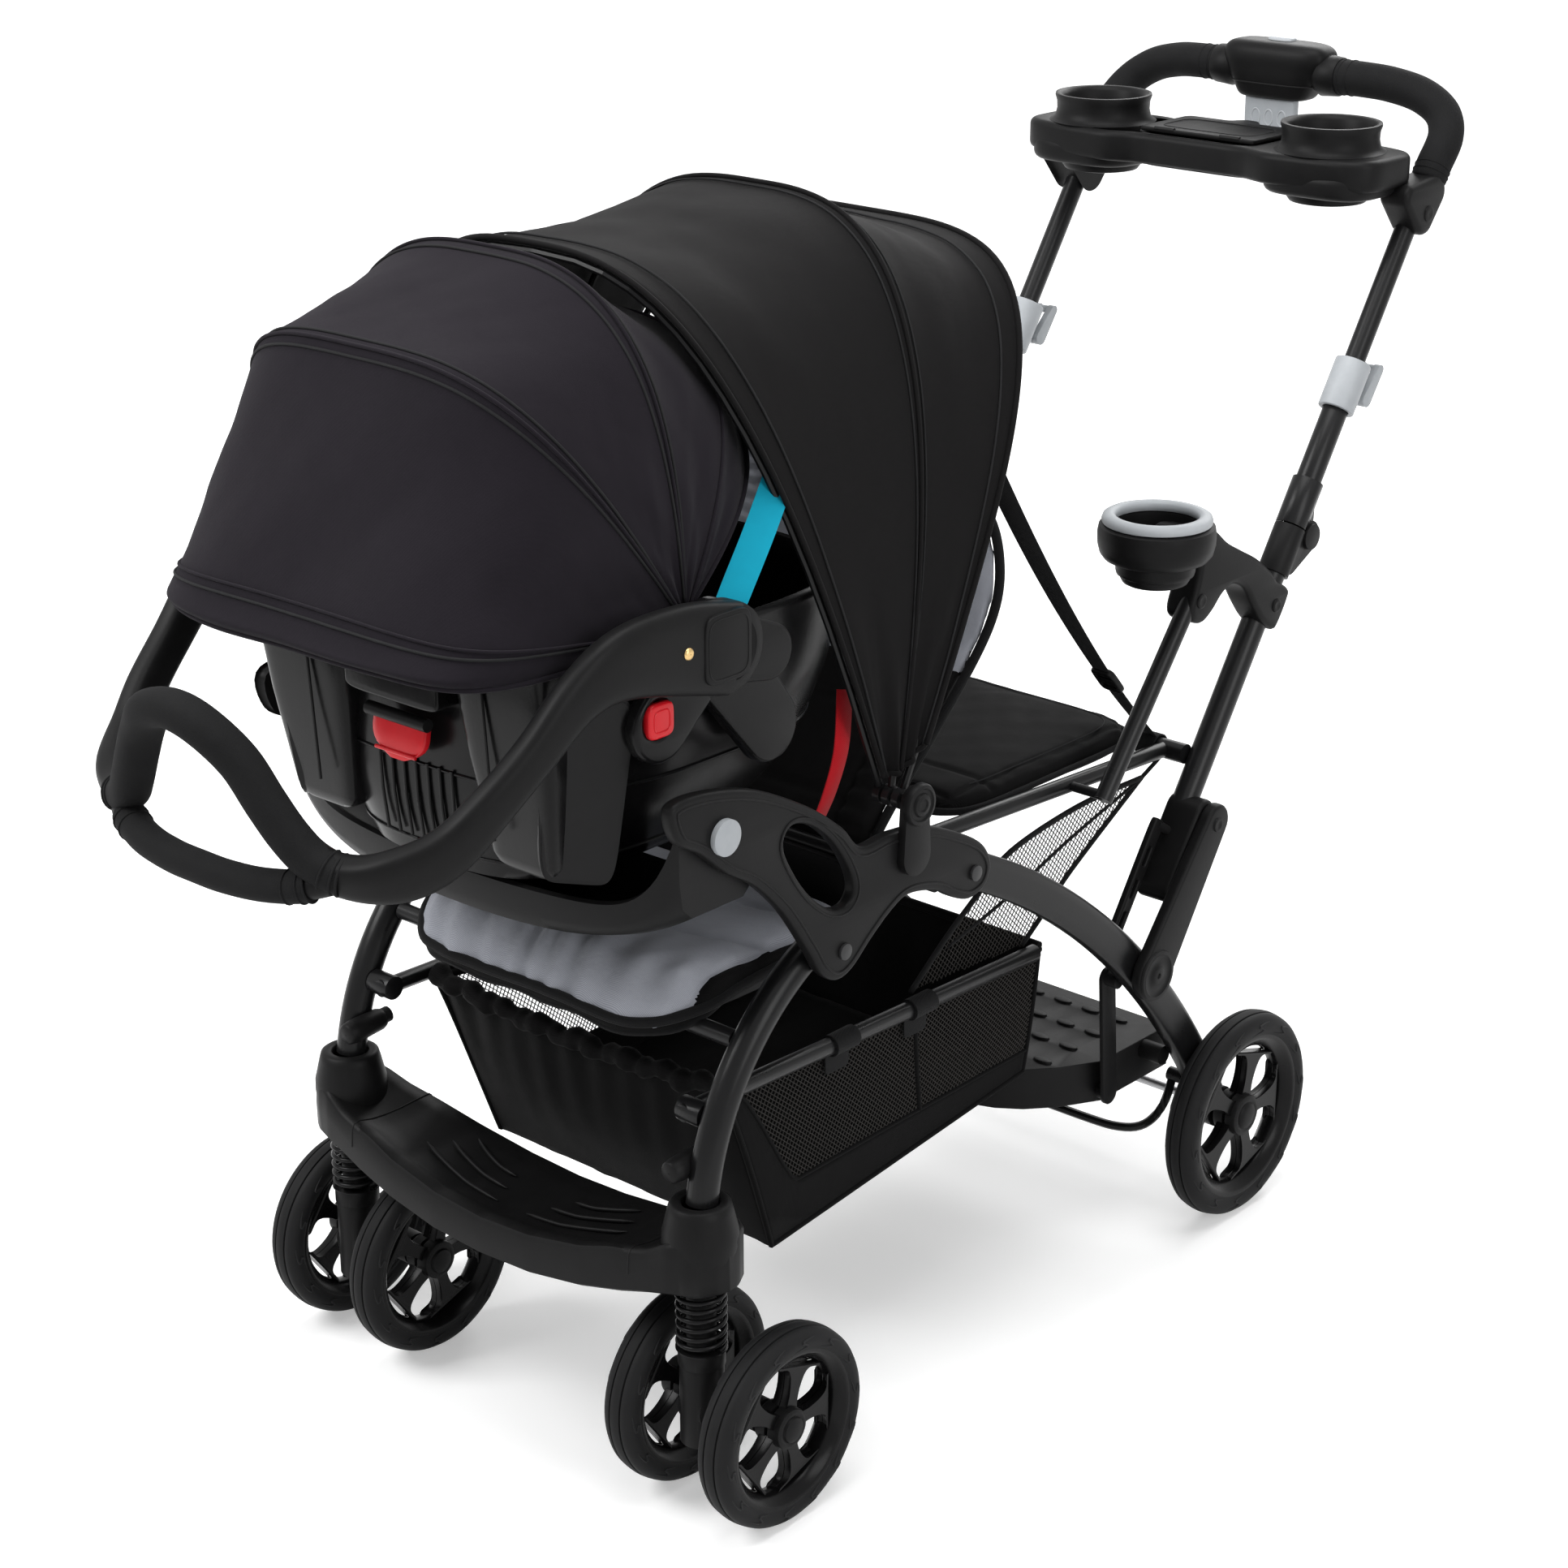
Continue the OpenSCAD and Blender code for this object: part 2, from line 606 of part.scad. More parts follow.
// Cloth stretched from bow to bow: point rows of two bows joined straight, drawn in a little between them
fabric_gap = bow_d / 2 + fabric_t / 2;
function drawn_in(p, pin, sag) = [p.x, mix(p.y, pin.x, sag), mix(p.z, pin.y, sag)];
function cloth_row(rows, t, pin, sag) = let (
    spans = len(rows) - 1,
    i = min(floor(t * spans), spans - 1),
    f = t * spans - i)
    [for (j = [0:len(rows[0]) - 1]) drawn_in(mix(rows[i][j], rows[i + 1][j], f), pin, 4 * sag * f * (1 - f))];
function backwards(list) = [for (i = [len(list) - 1:-1:0]) list[i]];
module cloth_shell(outer_rows, inner_rows, cells, pin, sag) {
    loft([for (i = [0:cells]) concat(cloth_row(outer_rows, i / cells, pin, sag),
        backwards(cloth_row(inner_rows, i / cells, pin, sag)))], strip = true);
}

fabric_cells = 12;
fabric_steps = 26;
fabric_from = 2.5;
fabric_sag = 0.022;
function bow_row(i, grow) = arch_path(canopy_pin, bow_angles[i], at(bow_half_shares[i]) + grow,
    at(bow_reach_shares[i]) + grow, bow_powers[i], fabric_from, fabric_steps);
module canopy_fabric() {
    outer = [for (i = [0:2]) bow_row(i, fabric_gap + fabric_t)];
    inner = [for (i = [0:2]) bow_row(i, fabric_gap)];
    color(cloth) cloth_shell(outer, inner, fabric_cells, canopy_pin, fabric_sag);
}

// Rear frame
rear_axle_y = at(0.366);
rear_wheel_x = at(0.252);
rear_hub = [rear_axle_y, rear_wheel_d / 2];
leg_bow = at(0.050);
chord = norm(rear_hub - rear_pivot);
rear_leg_r = (chord * chord / 4 + leg_bow * leg_bow) / 2 / leg_bow;
chord_dir = unit(rear_hub - rear_pivot);
rear_leg_c = (rear_hub + rear_pivot) / 2 + (rear_leg_r - leg_bow) * turn(chord_dir, -90);
rear_leg_a0 = atan2(rear_hub.y - rear_leg_c.y, rear_hub.x - rear_leg_c.x);
rear_leg_a1 = atan2(rear_pivot.y - rear_leg_c.y, rear_pivot.x - rear_leg_c.x);
rear_leg_inner = leg_x - rear_leg_t / 2;
rear_leg_outer = leg_x + rear_leg_t / 2;

module rear_legs() {
    foot_d = 1.2 * rear_leg_h;
    color(satin) pair() difference() {
        union() {
            translate([leg_x, rear_leg_c.x, rear_leg_c.y]) rotate([90, 0, 90]) rotate([0, 0, rear_leg_a0])
                rotate_extrude(angle = rear_leg_a1 - rear_leg_a0) translate([rear_leg_r, 0])
                    polygon(profile(rear_leg_h, rear_leg_t, 4, 20));
            bar_x(rear_pivot, rear_leg_inner, rear_leg_outer, rear_leg_h);
            bar_x(rear_hub, rear_leg_inner, rear_leg_outer, foot_d);
        }
        bar_x(rear_pivot, rear_leg_inner - plate_t, rear_leg_outer + plate_t, bolt_d + 2 * run_gap);
        bar_x(rear_hub, rear_leg_inner - plate_t, rear_leg_outer + plate_t, axle_d + 2 * fit_gap);
    }
}

module rear_axle() {
    end_x = rear_wheel_x + 0.35 * rear_wheel_w;
    color(steel) bar_x(rear_hub, -end_x, end_x, axle_d);
}

module rear_wheel(side) {
    translate([side * rear_wheel_x, rear_hub.x, rear_hub.y])
        rotate([0, 0, side > 0 ? 0 : 180]) wheel(rear_wheel_d, rear_wheel_w);
}

module rear_wheel_left() { rear_wheel(1); }
module rear_wheel_right() { rear_wheel(-1); }

// Standing platform: a tread plate with a skirt and rows of raised ovals
platform_half = at(0.186);
platform_front = at(0.122);
platform_rear = at(0.335);
platform_corner = at(0.100);
platform_top = at(0.197);
platform_skirt = at(0.044);
platform_steps = 16;
function platform_outline(inset) = concat(
    [for (i = [0:platform_steps]) let (u = 2 * i / platform_steps - 1)
        [(platform_half - inset) * u, platform_front + inset + platform_corner * pow(abs(u), 4)]],
    [[platform_half - inset, platform_rear - inset], [-(platform_half - inset), platform_rear - inset]]);
module standing_platform() {
    bump_rows = 4;
    bump_n = 9;
    bump_h = at(0.0025);
    bump_w = at(0.022);
    color(black) {
        difference() {
            translate([0, 0, platform_top - platform_skirt]) linear_extrude(platform_skirt)
                polygon(platform_outline(0));
            translate([0, 0, platform_top - platform_skirt - tray_wall]) linear_extrude(platform_skirt)
                polygon(platform_outline(tray_wall));
        }
        for (i = [0:bump_n - 1], j = [0:bump_rows - 1])
            translate([mix(-0.76, 0.76, i / (bump_n - 1)) * platform_half,
                mix(platform_front, platform_rear, 0.28 + 0.2 * j), platform_top])
                linear_extrude(bump_h) polygon(profile(bump_w, bump_w / 2, 2, 12));
    }
}

// Link bars from the rear legs to the platform, and the pins behind them
link_x = at(0.1945);
link_t = 4;
link_top = at([0.209, 0.296]);
link_low = at([0.219, 0.166]);
platform_pin = at([0.292, 0.186]);
link_end_r = at(0.011);
link_pin_d = at(0.016);
platform_pin_d = at(0.020);
module platform_links() {
    color(black) pair() {
        slab_x(link_x, link_t) link2d(link_top, link_low, link_end_r, link_end_r);
        bar_x(link_top, link_x + link_t, rear_leg_inner - fit_gap, link_pin_d);
        bar_x(link_low, platform_half + fit_gap, link_x, link_pin_d);
        bar_x(platform_pin, platform_half + fit_gap, rear_leg_inner - fit_gap, platform_pin_d);
    }
}

// Brake bar: a bent wire that hangs below the platform and turns on pins at the rear legs
brake_shares = [[0.198, -0.036, 0.0385], [0.198, -0.052, 0.0095], [0.190, -0.072, -0.0075],
    [0.168, -0.086, -0.0125], [0.120, -0.090, -0.0135], [0, -0.090, -0.0135]];
brake_pin = rear_hub + at([brake_shares[0].y, brake_shares[0].z]);
brake_d = 9;
module brake_bar() {
    half = smooth([for (s = brake_shares) [at(s.x), rear_hub.x + at(s.y), rear_hub.y + at(s.z)]], 5);
    color(black) {
        sweep(mirrored(half), profile(brake_d, brake_d, 2, 8), [0, 1, 0.9]);
        pair() bar_x(brake_pin, at(brake_shares[0].x) - brake_d / 2, rear_leg_inner - run_gap,
            1.6 * brake_d);
    }
}

// Handle line: it rises from the pivot housing to the parent tray
handle_x = at(0.205);
handle_foot = at([0.221, 0.309]);
handle_lean = 33.7;
handle_dir = [sin(handle_lean), cos(handle_lean)];
handle_out = [cos(handle_lean), -sin(handle_lean)];
knuckle_s = at(0.467);
clamp_s = at(0.620);
tray_s = at(0.808);
function on_handle(s, out) = handle_foot + s * handle_dir + out * handle_out;
function handle_point(x, s, out) = let (p = on_handle(s, out)) [x, p.x, p.y];
// Tube along the handle line
module handle_tube(x, s0, s1, d) {
    rod(handle_point(x, s0, 0), handle_point(x, s1, 0), d);
}

housing_top_s = at(0.158);
housing_low_s = at(0.092);
housing_side = at(0.006);
housing_foot_r = at(0.037);
housing_head_r = at(0.020);
housing_neck_r = at(0.017);
module pivot_housings() {
    outer_x = rear_leg_outer + run_gap;
    grip_x = handle_x - handle_d / 2 - tube_wall;
    head = on_handle(housing_top_s, housing_side);
    color(black) pair() {
        slab_x(outer_x, plate_t) link2d(handle_foot, head, housing_foot_r, housing_head_r);
        difference() {
            slab_x(grip_x, outer_x - grip_x - fit_gap)
                link2d(on_handle(housing_low_s, 0), head, housing_neck_r, housing_head_r);
            handle_tube(handle_x, 0, 2 * housing_top_s, handle_d + 2 * fit_gap);
        }
    }
}

tube_foot_s = at(0.080);
gap_s = at(0.018);
module lower_handle() {
    color(satin) pair() difference() {
        handle_tube(handle_x, tube_foot_s, knuckle_s - gap_s, handle_d);
        handle_tube(handle_x, tube_foot_s - gap_s, knuckle_s, handle_d - 2 * tube_wall);
    }
}

// Rails of the rear seat, with the cross bar between the handle tubes
seat_rail_x = at(0.168);
seat_rail_front = at([-0.046, 0.513]);
seat_bar_at = at([0.334, 0.494]);
module rear_seat_rails() {
    front = [seat_rail_x, seat_rail_front.x, seat_rail_front.y];
    rear = [seat_rail_x, seat_bar_at.x, seat_bar_at.y];
    bar_end = handle_x - handle_d / 2 - fit_gap;
    color(satin) {
        pair() rod(front, rear, rail_d);
        bar_x(seat_bar_at, -bar_end, bar_end, 1.25 * rail_d);
        pair() bar_x(seat_rail_front, seat_rail_x, rear_leg_inner - fit_gap, 0.8 * rail_d);
    }
}

// Rear seat pad: a flat cushion with a crowned top and one cross channel
rear_pad_front = at(0.008);
rear_pad_rear = at(0.318);
rear_pad_w = 2 * (seat_rail_x - rail_d / 2 - 3 * fit_gap);
rear_pad_bow = at(0.026);
rear_pad_low = at(0.500);
rear_pad_cells = 16;
module rear_seat_pad() {
    color(cloth) cushion(rear_pad_w, rear_pad_low, rear_pad_cells,
        function (u) rear_pad_front + pad_back_bow * u * u,
        function (u) rear_pad_rear - rear_pad_bow * u * u);
}

// Seat links rise from the seat rails to the brackets below the knuckles
link_tube_x = at(0.2115);
link_tube_d = 18;
link_foot = at([0.169, 0.498]);
link_head = at([0.303, 0.670]);
module seat_links() {
    tab = at([0.169, 0.503]);
    color(satin) pair() {
        rod([link_tube_x, link_foot.x, link_foot.y], [link_tube_x, link_head.x, link_head.y], link_tube_d);
        bar_x(tab, seat_rail_x + rail_d / 2 + fit_gap, link_tube_x, 0.6 * rail_d);
    }
}

// Brackets from the seat links to the handle tubes; the left one carries the cup
cup_at = at([0.205, 0.249]);
cup_top = at(0.752);
cup_out = cup_d / 2 + 2.4 * tray_wall;
bracket_low_s = at(0.362);
bracket_top_s = at(0.410);
bracket_waist_top = at([0.364, 0.704]);
bracket_waist_low = at([0.362, 0.670]);
bracket_wrap = handle_d / 2 + 1.25 * tray_wall;
link_wrap = link_tube_d / 2 + tray_wall;
link_hold = at(0.022);
cup_arm_y = link_head.x - tray_wall / 2;
module link_brackets() {
    link_dir = unit(link_head - link_foot);
    link_end = link_head - link_hold * link_dir;
    link_side = link_wrap * turn(link_dir, -90);
    lug_top = cup_top - 4 * tray_wall;
    x0 = handle_x - handle_d / 2 - tube_wall;
    w = link_tube_x + link_tube_d / 2 + tube_wall - x0;
    lug_y = cup_arm_y + fit_gap;
    color(black) pair() difference() {
        slab_x(x0, w) polygon([[lug_y, cup_top - cup_depth - 2 * tray_wall], [lug_y, lug_top],
            [lug_y + link_wrap, lug_top], bracket_waist_top, on_handle(bracket_top_s, -bracket_wrap),
            on_handle(bracket_top_s, bracket_wrap), on_handle(bracket_low_s, bracket_wrap),
            on_handle(bracket_low_s, -bracket_wrap), bracket_waist_low, link_end + link_side,
            link_end - link_side]);
        handle_tube(handle_x, housing_top_s, knuckle_s, handle_d + 2 * fit_gap);
        rod([link_tube_x, link_foot.x, link_foot.y], [link_tube_x, link_head.x, link_head.y],
            link_tube_d + 2 * fit_gap);
    }
}

// Side cup with its grey rim ring
module cup_holder() {
    rim_h = at(0.010);
    floor_z = cup_top - cup_depth;
    color(black) translate([cup_at.x, cup_at.y, 0]) difference() {
        union() {
            translate([0, 0, floor_z - tray_wall]) cylinder(r1 = cup_out - 2 * tray_wall, r2 = cup_out,
                h = cup_depth + tray_wall - fit_gap);
            slab_x(-handle_d / 2, handle_d) polygon([[0, floor_z - tray_wall], [0, cup_top - 2 * tray_wall],
                [cup_arm_y - cup_at.y, cup_top - 4 * tray_wall],
                [cup_arm_y - cup_at.y, floor_z - 2 * tray_wall]]);
        }
        translate([0, 0, floor_z]) cylinder(d = cup_d, h = 2 * cup_depth);
    }
    color(grey) translate([cup_at.x, cup_at.y, cup_top]) rotate_extrude() polygon([[cup_d / 2, 0],
        [cup_out + tray_wall, 0], [cup_out + tray_wall, rim_h / 2], [cup_out, rim_h],
        [cup_d / 2 + tray_wall, rim_h], [cup_d / 2, rim_h / 2]]);
}

// Folding knuckles: two cheeks below, one tongue above, on a pin behind the tube
hinge_out = at(0.020);
hinge_at = on_handle(knuckle_s, hinge_out);
cheek_t = 7;
tongue_t = 11;
cheek_x = tongue_t / 2 + run_gap;
eye_r = at(0.016);
sleeve_d = 32;
sleeve_s = at(0.050);
knuckle_reach = at(0.034);
knuckle_side = at(0.004);
knuckle_r = at(0.013);
cap_d = at(0.026);
module knuckle2d(side) {
    link2d(on_handle(knuckle_s + side * knuckle_reach, knuckle_side), hinge_at, knuckle_r, eye_r);
}

module lower_knuckles() {
    pin_end = cheek_x + cheek_t;
    color(black) pair() {
        difference() {
            union() {
                handle_tube(handle_x, knuckle_s - sleeve_s, knuckle_s - run_gap, sleeve_d);
                for (x0 = [handle_x - cheek_x - cheek_t, handle_x + cheek_x])
                    slab_x(x0, cheek_t) knuckle2d(-1);
            }
            handle_tube(handle_x, 0, knuckle_s + sleeve_s, handle_d + 2 * fit_gap);
            bar_x(hinge_at, handle_x - sleeve_d, handle_x + sleeve_d, bolt_d + 2 * fit_gap);
            bar_x(hinge_at, handle_x - cheek_x, handle_x + cheek_x, 2 * (eye_r + run_gap));
        }
        bar_x(hinge_at, handle_x - pin_end, handle_x + pin_end + fit_gap, bolt_d);
        bar_x(hinge_at, handle_x + pin_end + fit_gap, handle_x + pin_end + cheek_t / 2, cap_d);
    }
}

// Outer tubes above the knuckles, with the tongues that turn between the cheeks
module upper_handle() {
    color(satin) pair() {
        difference() {
            handle_tube(handle_x, knuckle_s + gap_s, clamp_s - gap_s, handle_d);
            handle_tube(handle_x, knuckle_s, clamp_s, handle_d - 2 * tube_wall);
        }
        difference() {
            union() {
                difference() {
                    handle_tube(handle_x, knuckle_s + 2 * run_gap, knuckle_s + sleeve_s, sleeve_d);
                    bar_x(hinge_at, handle_x - sleeve_d, handle_x + sleeve_d, 2 * eye_r + 4 * run_gap);
                }
                slab_x(handle_x - tongue_t / 2, tongue_t) knuckle2d(1);
            }
            handle_tube(handle_x, 0, clamp_s, handle_d + 2 * fit_gap);
            bar_x(hinge_at, handle_x - sleeve_d, handle_x + sleeve_d, bolt_d + 2 * run_gap);
        }
    }
}

// Clamps at the top of the outer tubes
slide_d = handle_d - 2 * tube_wall - 2 * run_gap;
clamp_d = 37;
clamp_half = at(0.026);
lug_r = at(0.008);
lug_root_r = at(0.014);
lever_l = at(0.034);
lever_side = at(0.004);
lever_tip_r = at(0.005);
lever_out = clamp_d / 2 + 1.25 * lug_r;
module clamp_collars() {
    lug = on_handle(clamp_s, lever_out);
    color(grey) pair() difference() {
        union() {
            handle_tube(handle_x, clamp_s - clamp_half, clamp_s + clamp_half, clamp_d);
            slab_x(handle_x - tongue_t / 2, tongue_t)
                link2d(on_handle(clamp_s, 0), lug, lug_root_r, lug_r);
        }
        handle_tube(handle_x, clamp_s - 2 * clamp_half, clamp_s - gap_s, handle_d + 2 * fit_gap);
        handle_tube(handle_x, clamp_s - 2 * clamp_half, clamp_s + 2 * clamp_half, slide_d + 2 * run_gap);
        bar_x(lug, handle_x - clamp_d, handle_x + clamp_d, bolt_d / 2 + 2 * fit_gap);
    }
}

module clamp_lever(side) {
    lug = on_handle(clamp_s, lever_out);
    arm_x = tongue_t / 2 + run_gap;
    tip = on_handle(clamp_s + lever_l, lever_out + lever_side);
    color(grey) mirror([side < 0 ? 1 : 0, 0, 0]) {
        for (x0 = [handle_x - arm_x - cheek_t, handle_x + arm_x])
            slab_x(x0, cheek_t) link2d(lug, tip, lug_r, lever_tip_r);
        bar_x(lug, handle_x - arm_x - cheek_t, handle_x + arm_x + cheek_t, bolt_d / 2);
        bar_x(tip, handle_x - arm_x - cheek_t, handle_x + arm_x + cheek_t, 1.6 * lever_tip_r);
    }
}

module clamp_lever_left() { clamp_lever(1); }
module clamp_lever_right() { clamp_lever(-1); }

// Sliding handlebar: straight tubes that bend inwards to the console
slide_foot_s = at(0.545);
console_half = at(0.070);
console_stub = at(0.017);
console_at = at([0.733, 1.098]);
bend_shares = [[0.207, 0.704, 1.026], [0.204, 0.729, 1.052], [0.190, 0.743, 1.072], [0.164, 0.745, 1.087],
    [0.132, 0.740, 1.095]];
bend_path = smooth(concat([handle_point(handle_x, tray_s, 0)], at(bend_shares),
    [for (x = [2 * console_stub, console_stub, fit_gap]) [console_half + x, console_at.x, console_at.y]]), 4);
bend_up = [0.2, 1, -0.4];
module handlebar() {
    color(satin) pair() {
        handle_tube(handle_x, slide_foot_s, tray_s, slide_d);
        sweep(bend_path, profile(slide_d, slide_d, 2, 14), bend_up);
    }
}

grip_from = 7;
module handle_grips() {
    path = [for (i = [grip_from:len(bend_path) - 1]) bend_path[i]];
    bore_d = slide_d + 2 * run_gap;
    color(rubber) pair()
        hollow_sweep(path, profile(grip_d, grip_d, 2, 14), profile(bore_d, bore_d, 2, 14), bend_up);
}

// Console on the middle of the handlebar
console_d = at(0.056);
console_h = at(0.060);
module console() {
    console_z = console_at.y - console_h * 0.44;
    color(black) translate([0, console_at.x, console_z]) difference() {
        translate([-console_half, 0, 0]) rotate([90, 0, 90]) linear_extrude(2 * console_half)
            polygon([for (q = profile(console_d, console_h, 4, 28)) q + [0, console_h / 2]]);
        translate([-trigger_w / 2 - run_gap, trigger_y - console_at.x - run_gap, -console_h])
            cube([trigger_w + 2 * run_gap, trigger_t + 2 * run_gap, console_h + trigger_slot]);
    }
}

// Fold trigger below the console, squeezed upwards
trigger_w = at(0.062);
trigger_t = at(0.010);
trigger_h = at(0.050);
trigger_slot = at(0.024);
trigger_free = at(0.012);
trigger_y = at(0.716);
trigger_z = console_at.y - console_h * 0.44 + trigger_slot - trigger_free;
module fold_trigger() {
    color(grey) translate([-trigger_w / 2, trigger_y, trigger_z - trigger_h])
        cube([trigger_w, trigger_t, trigger_h]);
}

// Parent tray between the handle tubes, with two cups and a lidded bin
tray_half = at(0.214);
tray_y0 = at(0.556);
tray_y1 = at(0.680);
tray_bottom = at(1.014);
tray_top = at(1.046);
ring_top = at(1.074);
parent_cup_at = at([0.140, 0.616]);
bin_half = at(0.068);
bin_y0 = at(0.580);
bin_y1 = at(0.662);
lid_t = 5;
lid_lap = at(0.010);
lid_back_gap = at(0.004);
lid_tab_d = at(0.030);
tray_hold_s = at(0.026);
tray_seat = at([0.648, 1.000]);
module parent_tray() {
    ring_d = cup_d + 3 * tray_wall;
    hold = handle_d + 4 * tray_wall;
    color(black) {
        difference() {
            union() {
                translate([0, (tray_y0 + tray_y1) / 2, tray_bottom]) linear_extrude(tray_top - tray_bottom)
                    polygon(profile(2 * tray_half, tray_y1 - tray_y0, 6, 40));
                pair() translate([parent_cup_at.x, parent_cup_at.y, tray_bottom])
                    cylinder(d = ring_d, h = ring_top - tray_bottom);
            }
            pair() translate([parent_cup_at.x, parent_cup_at.y, ring_top - cup_depth])
                cylinder(d = cup_d, h = cup_depth * 2);
            translate([-bin_half, bin_y0, tray_bottom + tray_wall])
                cube([2 * bin_half, bin_y1 - bin_y0, tray_top]);
        }
        pair() difference() {
            slab_x(handle_x - hold / 2, hold)
                link2d(on_handle(tray_s - tray_hold_s, 0), tray_seat, hold / 2, hold / 2.6);
            translate([0, tray_y0, tray_bottom - fit_gap])
                cube([2 * tray_half, 2 * (tray_y1 - tray_y0), tray_top]);
            handle_tube(handle_x, clamp_s, tray_s + clamp_s, slide_d + 2 * fit_gap);
        }
    }
}

lid_hinge = [bin_y0 + lid_back_gap, tray_top + lid_t / 2 + fit_gap];
module tray_lid() {
    color(black) {
        translate([-bin_half - tray_wall / 2, lid_hinge.x, tray_top + fit_gap])
            cube([2 * bin_half + tray_wall, bin_y1 + lid_lap - lid_hinge.x, lid_t]);
        translate([0, bin_y1 + lid_lap, tray_top + fit_gap]) cylinder(d = lid_tab_d, h = lid_t);
        bar_x(lid_hinge, -bin_half - tray_wall / 2, bin_half + tray_wall / 2, lid_t);
    }
}

// Infant carrier: a bucket shell that faces the parent, with its head end to the front
carry_pin = at([-0.372, 0.790]);
shell_rings_shares = [[0.578, -0.490, -0.215, 0.118], [0.640, -0.502, -0.160, 0.162],
    [0.720, -0.505, -0.128, 0.190], [0.790, -0.506, -0.116, 0.196]];
shell_sides = 36;
module carrier_shell() {
    loop = function (s, inset, rise) let (
        mid = at((s[1] + s[2]) / 2),
        l = at(s[2] - s[1]) - 2 * inset,
        w = 2 * at(s[3]) - 2 * inset)
        [for (q = profile(w, l, 3.2, shell_sides)) [q.x, mid + q.y, at(s[0]) + rise]];
    n = len(shell_rings_shares) - 1;
    color(black) {
        loft(concat(
            [loop(shell_rings_shares[0], shell_t, shell_t)],
            [for (i = [1:n]) loop(shell_rings_shares[i], shell_t, 0)],
            [for (i = [n:-1:0]) loop(shell_rings_shares[i], 0, 0)]));
        pair() carrier_side();
        pair() slab_x(0.6 * release_w + run_gap, release_t / 2)
            polygon([[release_y, release_z + release_h / 2], [ear_back, release_z + release_h / 2],
                [ear_back, release_z + 1.5 * release_h], [release_y, release_z + 1.5 * release_h]]);
    }
}

// Side housing of the carrier: it carries the handle pin and the button
side_root = at(0.188);
side_root_at = at([-0.340, 0.760]);
side_root_d = at(0.050);
side_in = at(0.1965);
side_out = at(0.212);
carry_button_at = at([-0.436, 0.742]);
carry_button_d = at(0.030);
carry_button_seat = at(0.006);
carry_button_proud = at(0.004);
side_front = at([-0.430, 0.735]);
side_rear = at([-0.300, 0.700]);
side_eye_r = at(0.036);
side_end_r = at(0.032);
carry_pin_l = at(0.016);
module carrier_side() {
    difference() {
        slab_x(side_in, side_out - side_in) {
            link2d(carry_pin, side_front, side_eye_r, side_end_r);
            link2d(carry_pin, side_rear, side_eye_r, side_end_r);
        }
        bar_x(carry_button_at, side_in + carry_button_seat, 2 * side_out, carry_button_d + 2 * run_gap);
    }
    bar_x(side_root_at, side_root, side_in + fit_gap, side_root_d);
    bar_x(carry_pin, side_out - fit_gap, side_out + carry_pin_l, bolt_d);
}

module carrier_button(side) {
    color(red) mirror([side < 0 ? 1 : 0, 0, 0])
        bar_x(carry_button_at, side_in + 2 * carry_button_seat, side_out + carry_button_proud,
            carry_button_d);
}

module carrier_button_left() { carrier_button(1); }
module carrier_button_right() { carrier_button(-1); }

// Red release lever under the head end of the shell
release_y = at(-0.528);
release_z = at(0.682);
release_w = at(0.064);
release_t = at(0.012);
release_h = at(0.036);
ear_back = at(-0.500);
module carrier_release() {
    color(red) translate([-release_w / 2, release_y, release_z]) cube([release_w, release_t, release_h]);
    color(black) bar_x([release_y + release_t / 2, release_z + release_h], -0.6 * release_w, 0.6 * release_w,
        release_t);
}

// Carrier handle: arms from the pins to a two-branch grip at the front
arm_shares = [[0.230, -0.372, 0.790], [0.230, -0.431, 0.803], [0.229, -0.494, 0.807],
    [0.224, -0.537, 0.790], [0.217, -0.578, 0.753], [0.208, -0.615, 0.720], [0.195, -0.643, 0.692],
    [0.180, -0.666, 0.677], [0.160, -0.687, 0.670], [0.135, -0.701, 0.670], [0.112, -0.711, 0.679],
    [0.095, -0.719, 0.697], [0.078, -0.726, 0.722], [0.058, -0.733, 0.752], [0.032, -0.744, 0.776],
    [0, -0.7469, 0.784]];
branch_shares = [[0.134, -0.701, 0.668], [0.105, -0.716, 0.658], [0.070, -0.727, 0.653],
    [0.032, -0.732, 0.651], [0, -0.733, 0.651]];
hub_d = at(0.076);
hub_t = at(0.022);
hub_skin = at(0.004);
carry_up = [0.02, 0.5, 1];
hub_x = side_out + run_gap;
module carrier_handle() {
    color(black) {
        difference() {
            sweep(smooth(mirrored(at(arm_shares)), 2), profile(carry_d, 0.8 * carry_d, 2.6, 10), carry_up);
            pair() bar_x(carry_pin, hub_x - hub_t, hub_x + 2 * hub_t, hub_d - fit_gap);
        }
        sweep(smooth(mirrored(at(branch_shares)), 2), profile(0.85 * carry_d, 0.85 * carry_d, 2, 10),
            carry_up);
        pair() difference() {
            bar_x(carry_pin, hub_x, hub_x + hub_t, hub_d);
            bar_x(carry_pin, hub_x - hub_t, hub_x + hub_t - hub_skin, bolt_d + 2 * run_gap);
        }
    }
}

